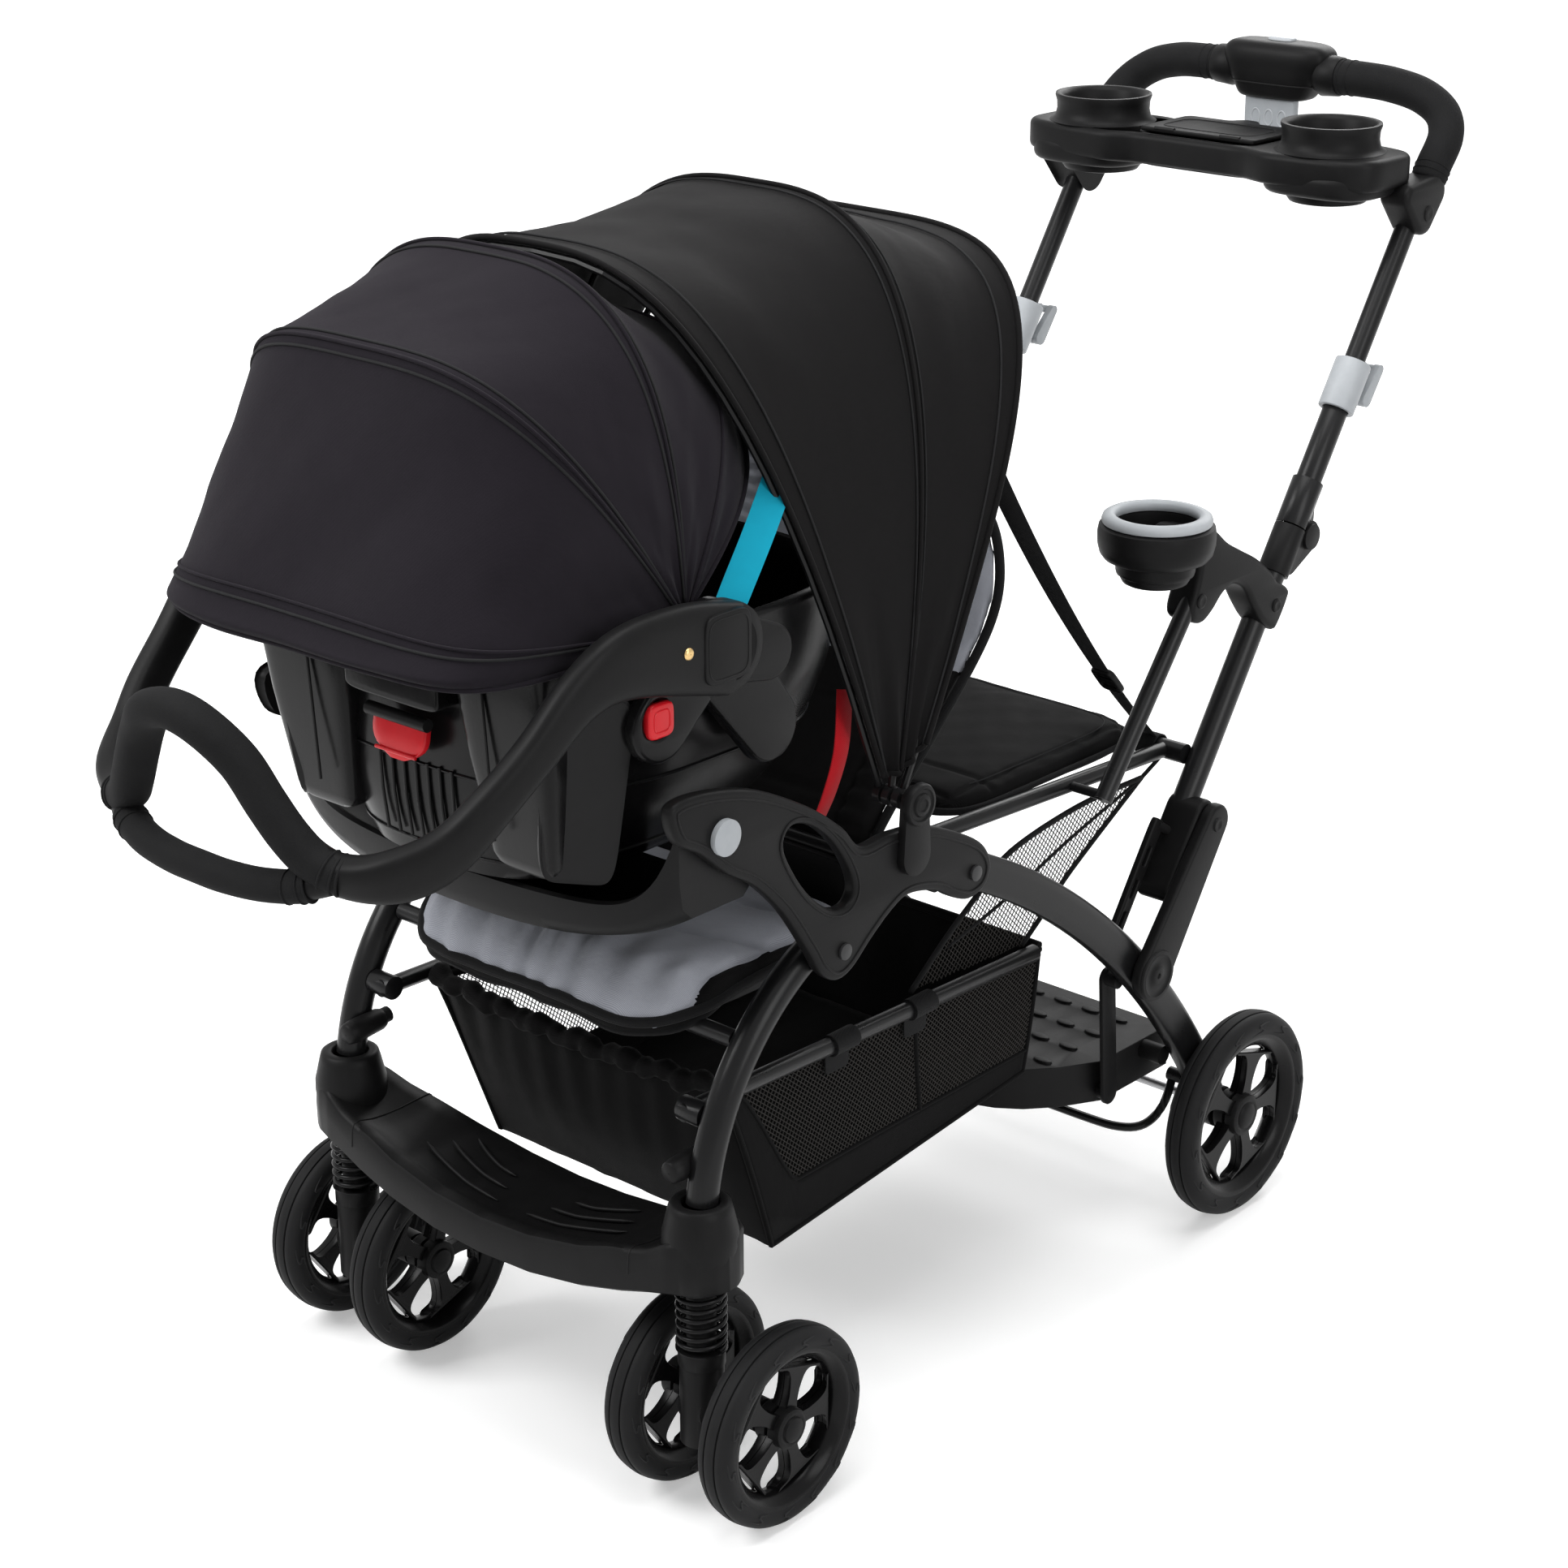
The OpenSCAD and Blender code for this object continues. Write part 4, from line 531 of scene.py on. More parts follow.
def strap(name, path, width, across, material, body, thick=0.0018):
    """Flat webbing along a path, its width along the direction across at each point."""
    p = np.array(path, float)
    t = np.gradient(p, axis=0)
    t /= np.linalg.norm(t, axis=1)[:, None]
    a = np.broadcast_to(np.array(across, float), p.shape).copy()
    a -= t * (a * t).sum(1)[:, None]
    a /= np.linalg.norm(a, axis=1)[:, None]
    n = np.cross(t, a)
    h, e = width / 2, thick / 2
    rows = []
    for x, z in ((-h, -e * 0.5), (-h * 0.94, -e), (h * 0.94, -e), (h, -e * 0.5), (h, e * 0.5), (h * 0.94, e),
                 (-h * 0.94, e), (-h, e * 0.5)):
        rows.append(p + a * x + n * z)
    b = Build().grid(np.array(rows).transpose(1, 0, 2), 0, True, False, True)
    return b.make(name, [material], body, auto=50)


def noise2(u, v, seed):
    """Smooth repeatable ripple between -1 and 1 from a few waves."""
    g = np.random.default_rng(seed)
    out = np.zeros(np.broadcast(u, v).shape)
    for k in range(7):
        a, b = g.uniform(-1, 1, 2) * (k + 2)
        out += np.sin(a * u + b * v + g.uniform(0, 6.28)) / (k + 1.5)
    return out / 1.9


def smoothstep(x, a, b):
    t = np.clip((x - a) / (b - a), 0, 1)
    return t * t * (3 - 2 * t)


def weigh(o, weights):
    """Cloth between two bodies, its placement baked into its mesh; weights is not used."""
    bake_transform(o)
    return o


def paint(material, *names):
    """One finish on carried-over CAD parts, with their round faces shaded smooth."""
    for n in names:
        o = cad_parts[n]
        o.data.materials.clear()
        o.data.materials.append(material)
        o.data.polygons.foreach_set("use_smooth", np.full(len(o.data.polygons), True))
        o.data.set_sharp_from_angle(angle=math.radians(32))


paint(satin, "front_frame", "basket_rails", "rear_legs", "rear_seat_rails", "lower_handle", "seat_links",
      "upper_handle", "handlebar", "canopy_front_bow", "canopy_mid_bow", "canopy_rear_bow", "carrier_brim_bow",
      "carrier_bows", "brake_bar")
paint(plastic, "canopy_mounts", "platform_links", "lower_knuckles", "strut_left", "strut_right", "fork_left",
      "fork_right", "standing_platform")
paint(dark_steel, "frame_bolts")
paint(steel, "rear_axle")
paint(grey, "tray_button_left", "tray_button_right", "clamp_collars", "clamp_lever_left", "clamp_lever_right")


# Canopies

def arch(pin, angle, half, reach, power, first, n, grow):
    """Even points along one bow, from the left foot over the top to the right foot."""
    s = np.radians(np.linspace(first, 180 - first, 400))
    r = (reach + grow) * np.sin(s) ** (2 / power)
    a = math.radians(angle)
    p = np.stack([(half + grow) * np.sign(np.cos(s)) * np.abs(np.cos(s)) ** (2 / power),
                  pin[0] + r * math.sin(a), pin[1] + r * math.cos(a)], 1)
    length = np.concatenate([[0], np.cumsum(np.linalg.norm(np.diff(p, axis=0), axis=1))])
    even = np.linspace(0, length[-1], n)
    return np.stack([np.interp(even, length, p[:, k]) for k in range(3)], 1)


def cloth_rows(bows, spans, pin, sag):
    """Rows of points from bow to bow, drawn in a little between them."""
    rows, at = [], []
    for i, count in enumerate(spans):
        for k in range(count + (i == len(spans) - 1)):
            f = k / count
            p = bows[i] * (1 - f) + bows[i + 1] * f
            d = 4 * f * (1 - f)
            q = p.copy()
            q[:, 1] += (pin[0] - p[:, 1]) * sag[i] * d
            q[:, 2] += (pin[1] - p[:, 2]) * sag[i] * d
            rows.append(q)
            at.append(i + f)
    return np.array(rows), np.array(at)


def sheet_of(o, width, length):
    """Grows or shrinks a length until a sheet of width by length suits the area of the piece's own mesh; the length
    is not kept.
    """
    area = sum(p.area for p in o.data.polygons)
    while width * length < area:
        length *= 1.05
    while area < 0.32 * width * length:
        length *= 0.9


def angle_about(o, pin):
    co = coords(o)
    return np.degrees(np.arctan2(co[:, 1] - pin[0], co[:, 2] - pin[1]))


HOOD_PIN = (-0.166, 0.604)
HOOD_ANGLES = (-21.8, 9, 27)
MID_BOW_SHARE = 0.35  # of the front bow's turn, as the coupled joint has it
GROW = 0.0075  # from a bow's middle line to its cloth
n = 121  # points along a bow
hood_bows = [arch(HOOD_PIN, a, h, r, p, 0.6, n, GROW) for a, h, r, p in zip(
    HOOD_ANGLES, (0.217, 0.227, 0.238), (0.506, 0.488, 0.49), (2.9, 3, 4))]
hood, at = cloth_rows(hood_bows, (26, 18), HOOD_PIN, (0.02, 0.02))
across = np.linspace(-1, 1, n)
side = np.abs(across)
foot = smoothstep(side, 0.55, 1.0)


def ripple(along, *layers):
    """Loose folds over one row of cloth, from layers of (waves across, waves along, seed, height)."""
    return sum(noise2(across * u, np.full(n, along * v), seed) * height for u, v, seed, height in layers)


for i, row in enumerate(hood):
    f = at[i] % 1
    free = 4 * f * (1 - f)
    wave = ripple(at[i], (5, 4, 3, 0.0042), (13, 7, 5, 0.0016))
    fold = np.sin(at[i] * 9.5 + 2.2 * np.sign(across)) * 0.0035 * foot
    out = np.stack([np.sign(across), 0 * across, 0 * across], 1) * foot[:, None]
    up = np.stack([0 * across, (row[:, 1] - HOOD_PIN[0]), (row[:, 2] - HOOD_PIN[1])], 1)
    up /= np.linalg.norm(up, axis=1)[:, None]
    way = out + up * (1 - foot)[:, None]
    hood[i] = row + way * ((wave + fold) * (0.15 + 0.85 * free))[:, None]
b = Build().grid(hood, 0)


def lifted(rows, i, by, pin):
    p = rows[i].copy()
    d = np.stack([p[:, 0] * 0.6, p[:, 1] - pin[0], p[:, 2] - pin[1]], 1)
    return p + d / np.linalg.norm(d, axis=1)[:, None] * by


def seam(b, rows, i, pin, radius, material, lift=0.0012):
    return b.tube(lifted(rows, i, lift, pin), radius, material, 8)


seam(b, hood, 0, HOOD_PIN, 0.0026, 0)
seam(b, hood, 3, HOOD_PIN, 0.0007, 1, 0.0018)
for i, s in ((25, 0.0009), (26, 0.0022), (27, 0.0009), (41, 0.0008)):
    seam(b, hood, i, HOOD_PIN, s, 0 if s > 0.001 else 1, 0.0016)
seam(b, hood, 44, HOOD_PIN, 0.0028, 0)
b.tube(hood[:, 0], 0.0024, 0, 8)
b.tube(hood[:, -1], 0.0024, 0, 8)
o = b.make("hood_cloth", [canopy_cloth, thread])
sheet_of(o, 1.25, 0.62)
modify(o, "SOLIDIFY", thickness=0.0018, offset=-1.0)
weigh(o,
      np.interp(angle_about(o, HOOD_PIN), HOOD_ANGLES, (1, MID_BOW_SHARE, 0)))
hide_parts("canopy_fabric")

# Curtain that closes the hood down to the back of the seat
cols = np.arange(42, n - 42)
top = hood[-1][cols]
k = np.linspace(-1, 1, len(cols))
low = np.stack([0.11 * k, 0.06 + 0.004 * k * k, 0.84 + 0 * k], 1)
rows = []
for f in np.linspace(0, 1, 26):
    p = top * (1 - f) + low * f
    p[:, 1] += 0.03 * np.sin(math.pi * f) * (1 - k ** 2) + 0.006 * np.sin(9 * k + 3 * f) * math.sin(math.pi * f)
    rows.append(p)
b = Build().grid(rows)
b.tube(rows[-1], 0.0022, 0, 8)
o = b.make("hood_curtain", [canopy_cloth])
sheet_of(o, 0.62, 0.45)
modify(o, "SOLIDIFY", thickness=0.0014, offset=0)
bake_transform(o)

CARRY_PIN = (-0.385, 0.806)
carry_bows = [arch(CARRY_PIN, a, h, r, p, 0.8, n, 0.0022) for a, h, r,
              p in zip((-88, -36.5, -4, 26, 47), (0.196, 0.194, 0.192, 0.19, 0.186),
                       (0.248, 0.278, 0.278, 0.234, 0.204), (6, 3.2, 3, 3, 3))]
cover, at = cloth_rows(carry_bows, (26, 16, 14, 10), CARRY_PIN, (0.012, 0.014, 0.018, 0.0))
for i, row in enumerate(cover):
    f = at[i] - math.floor(at[i])
    free = 4 * f * (1 - f)
    wave = ripple(at[i], (4, 3, 11, 0.0046), (11, 6, 12, 0.0015))
    d = np.stack([row[:, 0] * 0.8, row[:, 1] - CARRY_PIN[0], row[:, 2] - CARRY_PIN[1]], 1)
    d /= np.linalg.norm(d, axis=1)[:, None]
    cover[i] = row + d * (wave * (0.1 + 0.9 * free))[:, None]
brim = cover[0]
drop = []
for k in range(1, 9):
    f = k / 8
    p = brim.copy()
    fall = 0.011 * (1 - 0.35 * side ** 6)
    p[:, 2] -= f * fall + 0.0012 * np.sin(7 * across) * f
    p[:, 1] += 0.005 * f * f * (1 - side ** 4) - 0.003 * math.sin(math.pi * f) + 0.0012 * np.sin(16 * across + 1) * f
    p[:, 0] *= 1 - 0.012 * f
    drop.append(p)
skin = np.concatenate([np.array(drop[::-1]), cover])
b = Build().grid(skin, 0)
edge = len(drop)
for i, s, m in ((0, 0.0024, 0), (edge + 3, 0.0014, 0), (edge + 2, 0.0005, 1), (edge + 26, 0.0017, 0),
                (edge + 42, 0.0017, 0), (edge + 25, 0.0005, 1), (edge + 27, 0.0005, 1), (edge + 41, 0.0005, 1),
                (edge + 43, 0.0005, 1), (edge + 56, 0.0017, 0), (edge + 66, 0.0024, 0)):
    seam(b, skin, i, CARRY_PIN, s, m, 0.0008)
b.tube(skin[:, 0], 0.0018, 0, 8)
b.tube(skin[:, -1], 0.0018, 0, 8)
o = b.make("carrier_hood_cloth", [carrier_cloth, thread])
sheet_of(o, 0.85, 0.68)
modify(o, "SOLIDIFY", thickness=0.0018, offset=-1.0)
co = coords(o)
turn = angle_about(o, CARRY_PIN)
turn = np.where((co[:, 2] < CARRY_PIN[1] + 0.012) & (co[:, 1] < -0.42), -88, turn)
weigh(o, np.interp(turn, (-88, -36.5), (1, 0)))
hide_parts("carrier_canopy")

# Round hub covers on the hood's pins
b = Build()
for side in (-1, 1):
    b.lathe(sided(side, [(0.2565, 0.019), (0.261, 0.019), (0.263, 0.0178), (0.2636, 0.015), (0.2622, 0.0138),
                         (0.2622, 0.0108), (0.264, 0.0096), (0.2646, 0.006), (0.2634, 0.0048), (0.2634, 0.0004)]),
            (0, *HOOD_PIN), (1, 0, 0), 0, 48)
b.make("hood_hub_covers", [plastic], "chassis", auto=44, slot="black_plastic")


# Wheels

def wheel(name):
    low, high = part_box(name)
    c = [(a + b) / 2 for a, b in zip(low, high)]
    w, r = high[0] - low[0], (high[2] - low[2]) / 2
    axis = (1, 0, 0)
    b = Build()
    h = w / 2
    tyre = [(-0.5 * h, 0.775 * r), (-0.86 * h, 0.8 * r), (-0.99 * h, 0.855 * r), (-0.97 * h, 0.905 * r),
            (-0.84 * h, 0.95 * r), (-0.62 * h, 0.98 * r), (-0.4 * h, 0.9905 * r), (-0.37 * h, 0.9885 * r),
            (-0.345 * h, 0.976 * r), (-0.3 * h, 0.976 * r), (-0.275 * h, 0.993 * r), (-0.24 * h, 0.996 * r),
            (0, r)]
    tyre += [(-a, q) for a, q in tyre[-2::-1]]
    b.lathe(tyre, c, axis, 0, 96)
    rim = [(-0.3 * h, 0.8 * r), (-0.8 * h, 0.815 * r), (-0.86 * h, 0.8 * r), (-0.86 * h, 0.775 * r),
           (-0.8 * h, 0.75 * r), (-0.62 * h, 0.715 * r), (-0.5 * h, 0.69 * r), (-0.3 * h, 0.668 * r),
           (0, 0.662 * r)]
    rim += [(-a, q) for a, q in rim[-2::-1]]
    b.lathe(rim, c, axis, 1, 96)
    spread = [(0.1, 0.62), (0.17, 0.5), (0.24, 0.3), (0.33, 0.205), (0.44, 0.19), (0.54, 0.215), (0.62, 0.29),
              (0.665, 0.42), (0.69, 0.5)]
    right = curve([(q * r * math.sin(s), q * r * math.cos(s)) for q, s in spread], 4)
    outline = np.concatenate([right, right[::-1] * np.array([-1, 1])])
    for k in range(5):
        turn = 2 * math.pi * (k + 0.25) / 5
        for side in (-1, 1):
            def place(u, v, t):
                q = math.hypot(u, v) / r
                lift = h * (0.3 + 0.22 * (1 - min(q / 0.69, 1)) + 0.1 * (q / 0.69) ** 3)
                x = c[0] + side * (lift if t > 0.5 else 0.02 * h)
                return (x, c[1] + u * math.cos(turn) + v * math.sin(turn),
                        c[2] - u * math.sin(turn) + v * math.cos(turn))
            rows = []
            for inset, t in ((0.0, 0), (0.0, 0.4), (0.0, 1), (0.0016, 1), (0.004, 1)):
                loop = outline * (1 - inset / (0.3 * r))
                shift = np.array([0, 0.38 * r]) * (inset / (0.3 * r))
                extra = 0.0012 if inset == 0 and t == 1 else 0
                rows.append([np.array(place(*(q + shift), t)) - np.array([side * extra, 0, 0]) for q in loop])
            b.grid(rows, 1, True)
            n = len(outline)
            b.add(rows[-1], [tuple(range(n))], 1)
    for side in (-1, 1):
        cap = [(side * 0.1 * h, 0.205 * r), (side * 0.62 * h, 0.205 * r), (side * 0.74 * h, 0.196 * r),
               (side * 0.8 * h, 0.172 * r), (side * 0.82 * h, 0.15 * r), (side * 0.8 * h, 0.142 * r),
               (side * 0.8 * h, 0.132 * r), (side * 0.9 * h, 0.122 * r), (side * 0.97 * h, 0.085 * r),
               (side * 0.995 * h, 0.04 * r), (side * 1.0 * h, 0.0005)]
        b.lathe(cap, c, axis, 2, 48, True)
        for k in range(14):
            start = 2 * math.pi * k / 14
            path = []
            for f in np.linspace(0, 1, 12):
                q = r * (0.822 + 0.108 * f)
                a = start + 0.3 * f + 0.105 * math.sin(2 * math.pi * f)
                x = np.interp(q / r, (0.8, 0.855, 0.905, 0.95), (0.86, 0.99, 0.97, 0.84)) * h
                path.append((c[0] + side * x, c[1] + q * math.sin(a), c[2] + q * math.cos(a)))
            b.tube(path, np.interp(np.linspace(0, 1, 12), (0, 0.2, 0.8, 1), (0.0003, 0.0011, 0.0011, 0.0003)), 0, 6)
    b.make(name + "_look", [rubber, gloss, plastic], name, auto=42, slot="wheel", stands_for=name)


for name in ("rear_wheel_left", "rear_wheel_right", "front_wheel_left_outer", "front_wheel_left_inner",
             "front_wheel_right_inner", "front_wheel_right_outer"):
    wheel(name)


# Plates and mouldings

def circle2(c, r, n=32):
    q = np.linspace(0, 2 * math.pi, n, endpoint=False)
    return np.stack([c[0] + r * np.cos(q), c[1] + r * np.sin(q)], 1)


def hull2(*discs, n=40):
    """Outline round several discs, each given as (y, z, radius)."""
    p = np.concatenate([circle2(d[:2], d[2], n) for d in discs])
    p = p[np.lexsort((p[:, 1], p[:, 0]))]

    def half(points):
        out = []
        for q in points:
            while len(out) > 1 and ((out[-1][0] - out[-2][0]) * (q[1] - out[-2][1])
                                    - (out[-1][1] - out[-2][1]) * (q[0] - out[-2][0])) <= 0:
                out.pop()
            out.append(tuple(q))
        return out[:-1]
    loop = np.array(half(p) + half(p[::-1]))
    return even_loop(loop, 96)


def even_loop(loop, n):
    """The same closed outline with n evenly spaced points."""
    p = np.concatenate([loop, loop[:1]])
    length = np.concatenate([[0], np.cumsum(np.linalg.norm(np.diff(p, axis=0), axis=1))])
    e = np.linspace(0, length[-1], n, endpoint=False)
    return np.stack([np.interp(e, length, p[:, k]) for k in range(p.shape[1])], 1)


def evened(p, passes):
    """A closed path, each point drawn toward its neighbours."""
    for _ in range(passes):
        p = (np.roll(p, 1, 0) + p + np.roll(p, -1, 0)) / 3
    return p


def across_x(a, b, t):
    return (t, a, b)


def across_y(a, b, t):
    return (a, t, b)


def across_z(a, b, t):
    return (a, b, t)


# The handle's line in the side view: its foot, its direction and the way out from it
HANDLE_FOOT = np.array([0.221, 0.309])
HANDLE_DIR = np.array([0.5548, 0.832])
HANDLE_OUT = np.array([0.832, -0.5548])


def on_handle(s, out=0.0):
    return HANDLE_FOOT + s * HANDLE_DIR + out * HANDLE_OUT


def by_handle(s, out, t):
    return (t, *on_handle(s, out))


plate_line = loop_curve([
    (-0.462, 0.682), (-0.428, 0.686), (-0.364, 0.671), (-0.3, 0.639), (-0.255, 0.607), (-0.229, 0.581),
    (-0.19, 0.581), (-0.143, 0.574), (-0.094, 0.553), (-0.062, 0.533), (-0.05, 0.511), (-0.058, 0.492),
    (-0.08, 0.486), (-0.104, 0.495), (-0.128, 0.509), (-0.165, 0.517), (-0.189, 0.509), (-0.215, 0.492),
    (-0.241, 0.472), (-0.262, 0.468), (-0.281, 0.481), (-0.296, 0.505), (-0.328, 0.551), (-0.364, 0.587),
    (-0.397, 0.608), (-0.429, 0.635), (-0.455, 0.652)], 5)
window_line = loop_curve([(-0.329, 0.612), (-0.32, 0.626), (-0.299, 0.622), (-0.274, 0.604), (-0.254, 0.58),
                          (-0.241, 0.556), (-0.24, 0.541), (-0.25, 0.533), (-0.27, 0.537), (-0.296, 0.558),
                          (-0.317, 0.586)], 5)
b = Build()
for side in (-1, 1):
    b.plate(plate_line, [window_line], across_x, side * 0.2361, side * 0.2501, side * 0.0042)
    for line, d in ((plate_line, 0.0075), (window_line, -0.0055)):
        e = np.roll(line, -1, 0) - np.roll(line, 1, 0)
        e /= np.linalg.norm(e, axis=1)[:, None]
        inward = np.stack([e[:, 1], -e[:, 0]], 1) * d
        path = np.column_stack([np.full(len(line), side * 0.2501), line + inward])
        b.tube(path, 0.0011, 0, 8, True)
b.make("side_plate_covers", [plastic], "chassis", auto=40, slot="black_plastic", stands_for="side_plates")


def mix(a, b, f):
    return a + (b - a) * f


def tray_section(u):
    k = abs(u) ** 4
    f, back = mix(-0.478, -0.44, u * u), -0.35
    low, rim = mix(0.536, 0.575, k), mix(0.5774, 0.662, abs(u) ** 10)
    dish = mix(low + 0.004, rim - 0.004, k)
    e = 0.004 / (back - f) * 2
    x = 0.2358 * u
    y = [mix(f, back, 0.16), mix(f, back, 0.5), mix(f, back, 0.84), mix(f, back, 0.96), back, back,
         mix(back, f, e / 2), mix(back, f, e), mix(back, f, e + 0.04), mix(back, f, e + 0.14), mix(f, back, 0.5),
         mix(f, back, e + 0.14), mix(f, back, e + 0.04), mix(f, back, e), mix(f, back, e / 2), f, f,
         mix(f, back, 0.04)]
    z = [low, low - 0.002 * (1 - k), low, mix(low, rim, 0.12), mix(low, rim, 0.4), rim - 0.002, rim, rim - 0.002,
         mix(dish, rim, 0.4), dish, dish, dish, mix(dish, rim, 0.4), rim - 0.002, rim, rim - 0.002,
         mix(low, rim, 0.4), mix(low, rim, 0.12)]
    return [(x, p, q) for p, q in zip(y, z)]


rows = [tray_section(u) for u in np.linspace(-1, 1, 73)]
b = Build().solid(rows)
b.make("child_tray_look", [plastic], "chassis", auto=48, slot="black_plastic", stands_for="child_tray")


CASTER = (0.222, -0.405)  # x and y of a caster's swivel axis
FOOT_X = (0, 0.06, 0.12, 0.165, 0.195, 0.215, 0.232, 0.244, 0.2525, 0.255)
FOOT_FRONT = (-0.456, -0.4552, -0.452, -0.4478, -0.4445, -0.442, -0.4375, -0.43, -0.417, -0.405)
FOOT_BACK = (-0.326, -0.3275, -0.3335, -0.343, -0.356, -0.364, -0.368, -0.3745, -0.389, -0.404)
FOOT_TOP = (0.222, 0.2255, 0.236, 0.25, 0.264, 0.276, 0.28, 0.279, 0.276, 0.274)
FOOT_LOW = (0.193, 0.1955, 0.204, 0.214, 0.2225, 0.227, 0.229, 0.2292, 0.23, 0.231)


def foot_section(x):
    f, back, top, low = (np.interp(abs(x), FOOT_X, row) for row in (FOOT_FRONT, FOOT_BACK, FOOT_TOP, FOOT_LOW))
    d = back - f
    e = min(0.004, 0.15 * d)
    lip = 0.008 * (1 - smoothstep(np.array(abs(x)), 0.15, 0.2))
    floor = max(low, top - 0.008) if abs(x) < 0.19 else mix(top - 0.008, low, min(1, (abs(x) - 0.19) / 0.01))
    p = [(f + e, low), (f + 0.1 * d, low), (f + 0.125 * d, mix(low, floor, 0.15)), (f + 0.14 * d, floor),
         (mix(f, back, 0.6), floor), (back - e / 2, floor), (back, floor + 0.002), (back, top - 0.003),
         (back - e * 0.7, top - 0.0005), (mix(f, back, 0.8), top - 0.001), (mix(f, back, 0.6), top - 0.002),
         (mix(f, back, 0.4), top - 0.0015), (mix(f, back, 0.25), top), (mix(f, back, 0.17), top + lip / 2),
         (mix(f, back, 0.1), top + lip), (f + 0.9 * e, top + lip - 0.0008), (f + 0.2 * e, top + lip - 0.005),
         (f - 0.0005, mix(low, top, 0.5)), (f, low + 0.003)]
    return [(x, y, z) for y, z in p]


b = Build().grid(np.array([foot_section(0.255 * math.sin(math.pi / 2 * u)) for u in np.linspace(-1, 1, 121)]), 0,
                 True, False, True)
for side in (-1, 1):
    c = (side * CASTER[0], CASTER[1], 0)
    b.lathe([(0.229, 0.0135), (0.229, 0.027), (0.2305, 0.0288), (0.236, 0.03), (0.268, 0.0335), (0.278, 0.0332),
             (0.286, 0.0312), (0.298, 0.0285), (0.304, 0.0268), (0.306, 0.024), (0.3062, 0.0185), (0.3045, 0.0165),
             (0.3, 0.016)], c, (0, 0, 1), 0, 64)
    for k in range(3):
        path = []
        for f in np.linspace(0, 1, 18):
            x = side * mix(0.018 + 0.01 * k, 0.128 - 0.012 * k, f)
            y = -0.414 + 0.021 * k + 0.016 * f * f
            q = np.array(foot_section(x))[12:7:-1]
            path.append((x, y, np.interp(y, q[::-1, 1], q[::-1, 2]) + 0.0006))
        b.tube(path, np.interp(np.linspace(0, 1, 18), (0, 0.1, 0.9, 1), (0.0004, 0.0021, 0.0021, 0.0004)), 0, 8)
    b.tube(np.array(foot_section(side * 0.176))[6:18], 0.0008, 0, 6)
    b.tube([(side * 0.204, -0.372, 0.336), (side * 0.204, -0.385, 0.335)], 0.0075, 0, 20)
    b.lathe([(0, 0.0005), (0, 0.008), (0.002, 0.01), (0.01, 0.0112), (0.04, 0.0104), (0.044, 0.009), (0.045, 0.0005)],
            (side * 0.204, -0.424, 0.332), (0, 1, 0.06), 0, 32)
b.make("footrest_look", [plastic], "chassis", auto=50, slot="black_plastic", stands_for="footrest")


# Parent tray, console and grips

def dogbone(n=160):
    q = np.linspace(0, 2 * math.pi, n, endpoint=False)
    c, s = np.cos(q), np.sin(q)
    x = 0.214 * np.sign(c) * np.abs(c) ** (2 / 4.5)
    wide = 0.048 + 0.0135 * smoothstep(np.abs(x), 0.055, 0.105)
    return even_loop(np.stack([x, 0.618 + wide * np.sign(s) * np.abs(s) ** (2 / 4.5)], 1), n)


TRAY_CUPS = (-0.14, 0.14)
b = Build()
cups = [circle2((x, 0.616), 0.0425, 64) for x in TRAY_CUPS]
well = oval(0.134, 0.08, 7, 72, (0, 0.621))
b.plate(dogbone(), [*cups, well], across_z, 1.0145, 1.046, 0.0065)
for x in TRAY_CUPS:
    b.plate(oval(0.126, 0.116, 3.2, 96, (x * 1.03, 0.6175)), [], across_z, 1.005, 1.03, 0.0085)
    b.lathe([(0.995, 0.0005), (0.995, 0.033), (0.9962, 0.0385), (1.0, 0.0412), (1.015, 0.0425), (1.04, 0.05),
             (1.0462, 0.056), (1.0478, 0.0528), (1.051, 0.05), (1.058, 0.0484), (1.066, 0.0488), (1.0715, 0.0506),
             (1.0738, 0.0502), (1.0742, 0.0478), (1.073, 0.0445), (1.069, 0.0412), (1.05, 0.04), (1.03, 0.0388),
             (1.0252, 0.037), (1.024, 0.033), (1.024, 0.0005)], (x, 0.616, 0), (0, 0, 1), 0, 72)
b.plate(oval(0.136, 0.082, 7, 72, (0, 0.621)), [], across_z, 1.012, 1.018, 0.0025)
for side in (-1, 1):
    line = hull2((*on_handle(0.806), 0.0165), (*on_handle(0.836, 0.002), 0.0175), (0.642, 1.004, 0.0125))
    b.plate(line, [], across_x, side * 0.19, side * 0.2245, side * 0.0062)
    b.lathe(sided(side, [(0.0, 0.0085), (0.0012, 0.008), (0.0018, 0.006), (0.0014, 0.003), (0.0014, 0.0003)]),
            (side * 0.2243, *on_handle(0.812)), (1, 0, 0), 0, 24)
b.make("parent_tray_look", [plastic], "handlebar", auto=42, slot="black_plastic", stands_for="parent_tray")

lid = np.array([(-0.07, 0.5865), (-0.068, 0.5842), (0.068, 0.5842), (0.07, 0.5865), (0.07, 0.664), (0.067, 0.67),
                (0.061, 0.672), (0.0205, 0.672), (0.0165, 0.6745), (0.014, 0.679), (0.0105, 0.6835), (0.0055, 0.6862),
                (0, 0.687), (-0.0055, 0.6862), (-0.0105, 0.6835), (-0.014, 0.679), (-0.0165, 0.6745),
                (-0.0205, 0.672), (-0.061, 0.672), (-0.067, 0.67), (-0.07, 0.664)])
b = Build().plate(even_loop(lid, 160), [], across_z, 1.0462, 1.051, 0.0016)
for x in (-0.04, 0.04):
    b.tube([(x - 0.012, 0.5862, 1.05), (x + 0.012, 0.5862, 1.05)], 0.0024, 0, 16)
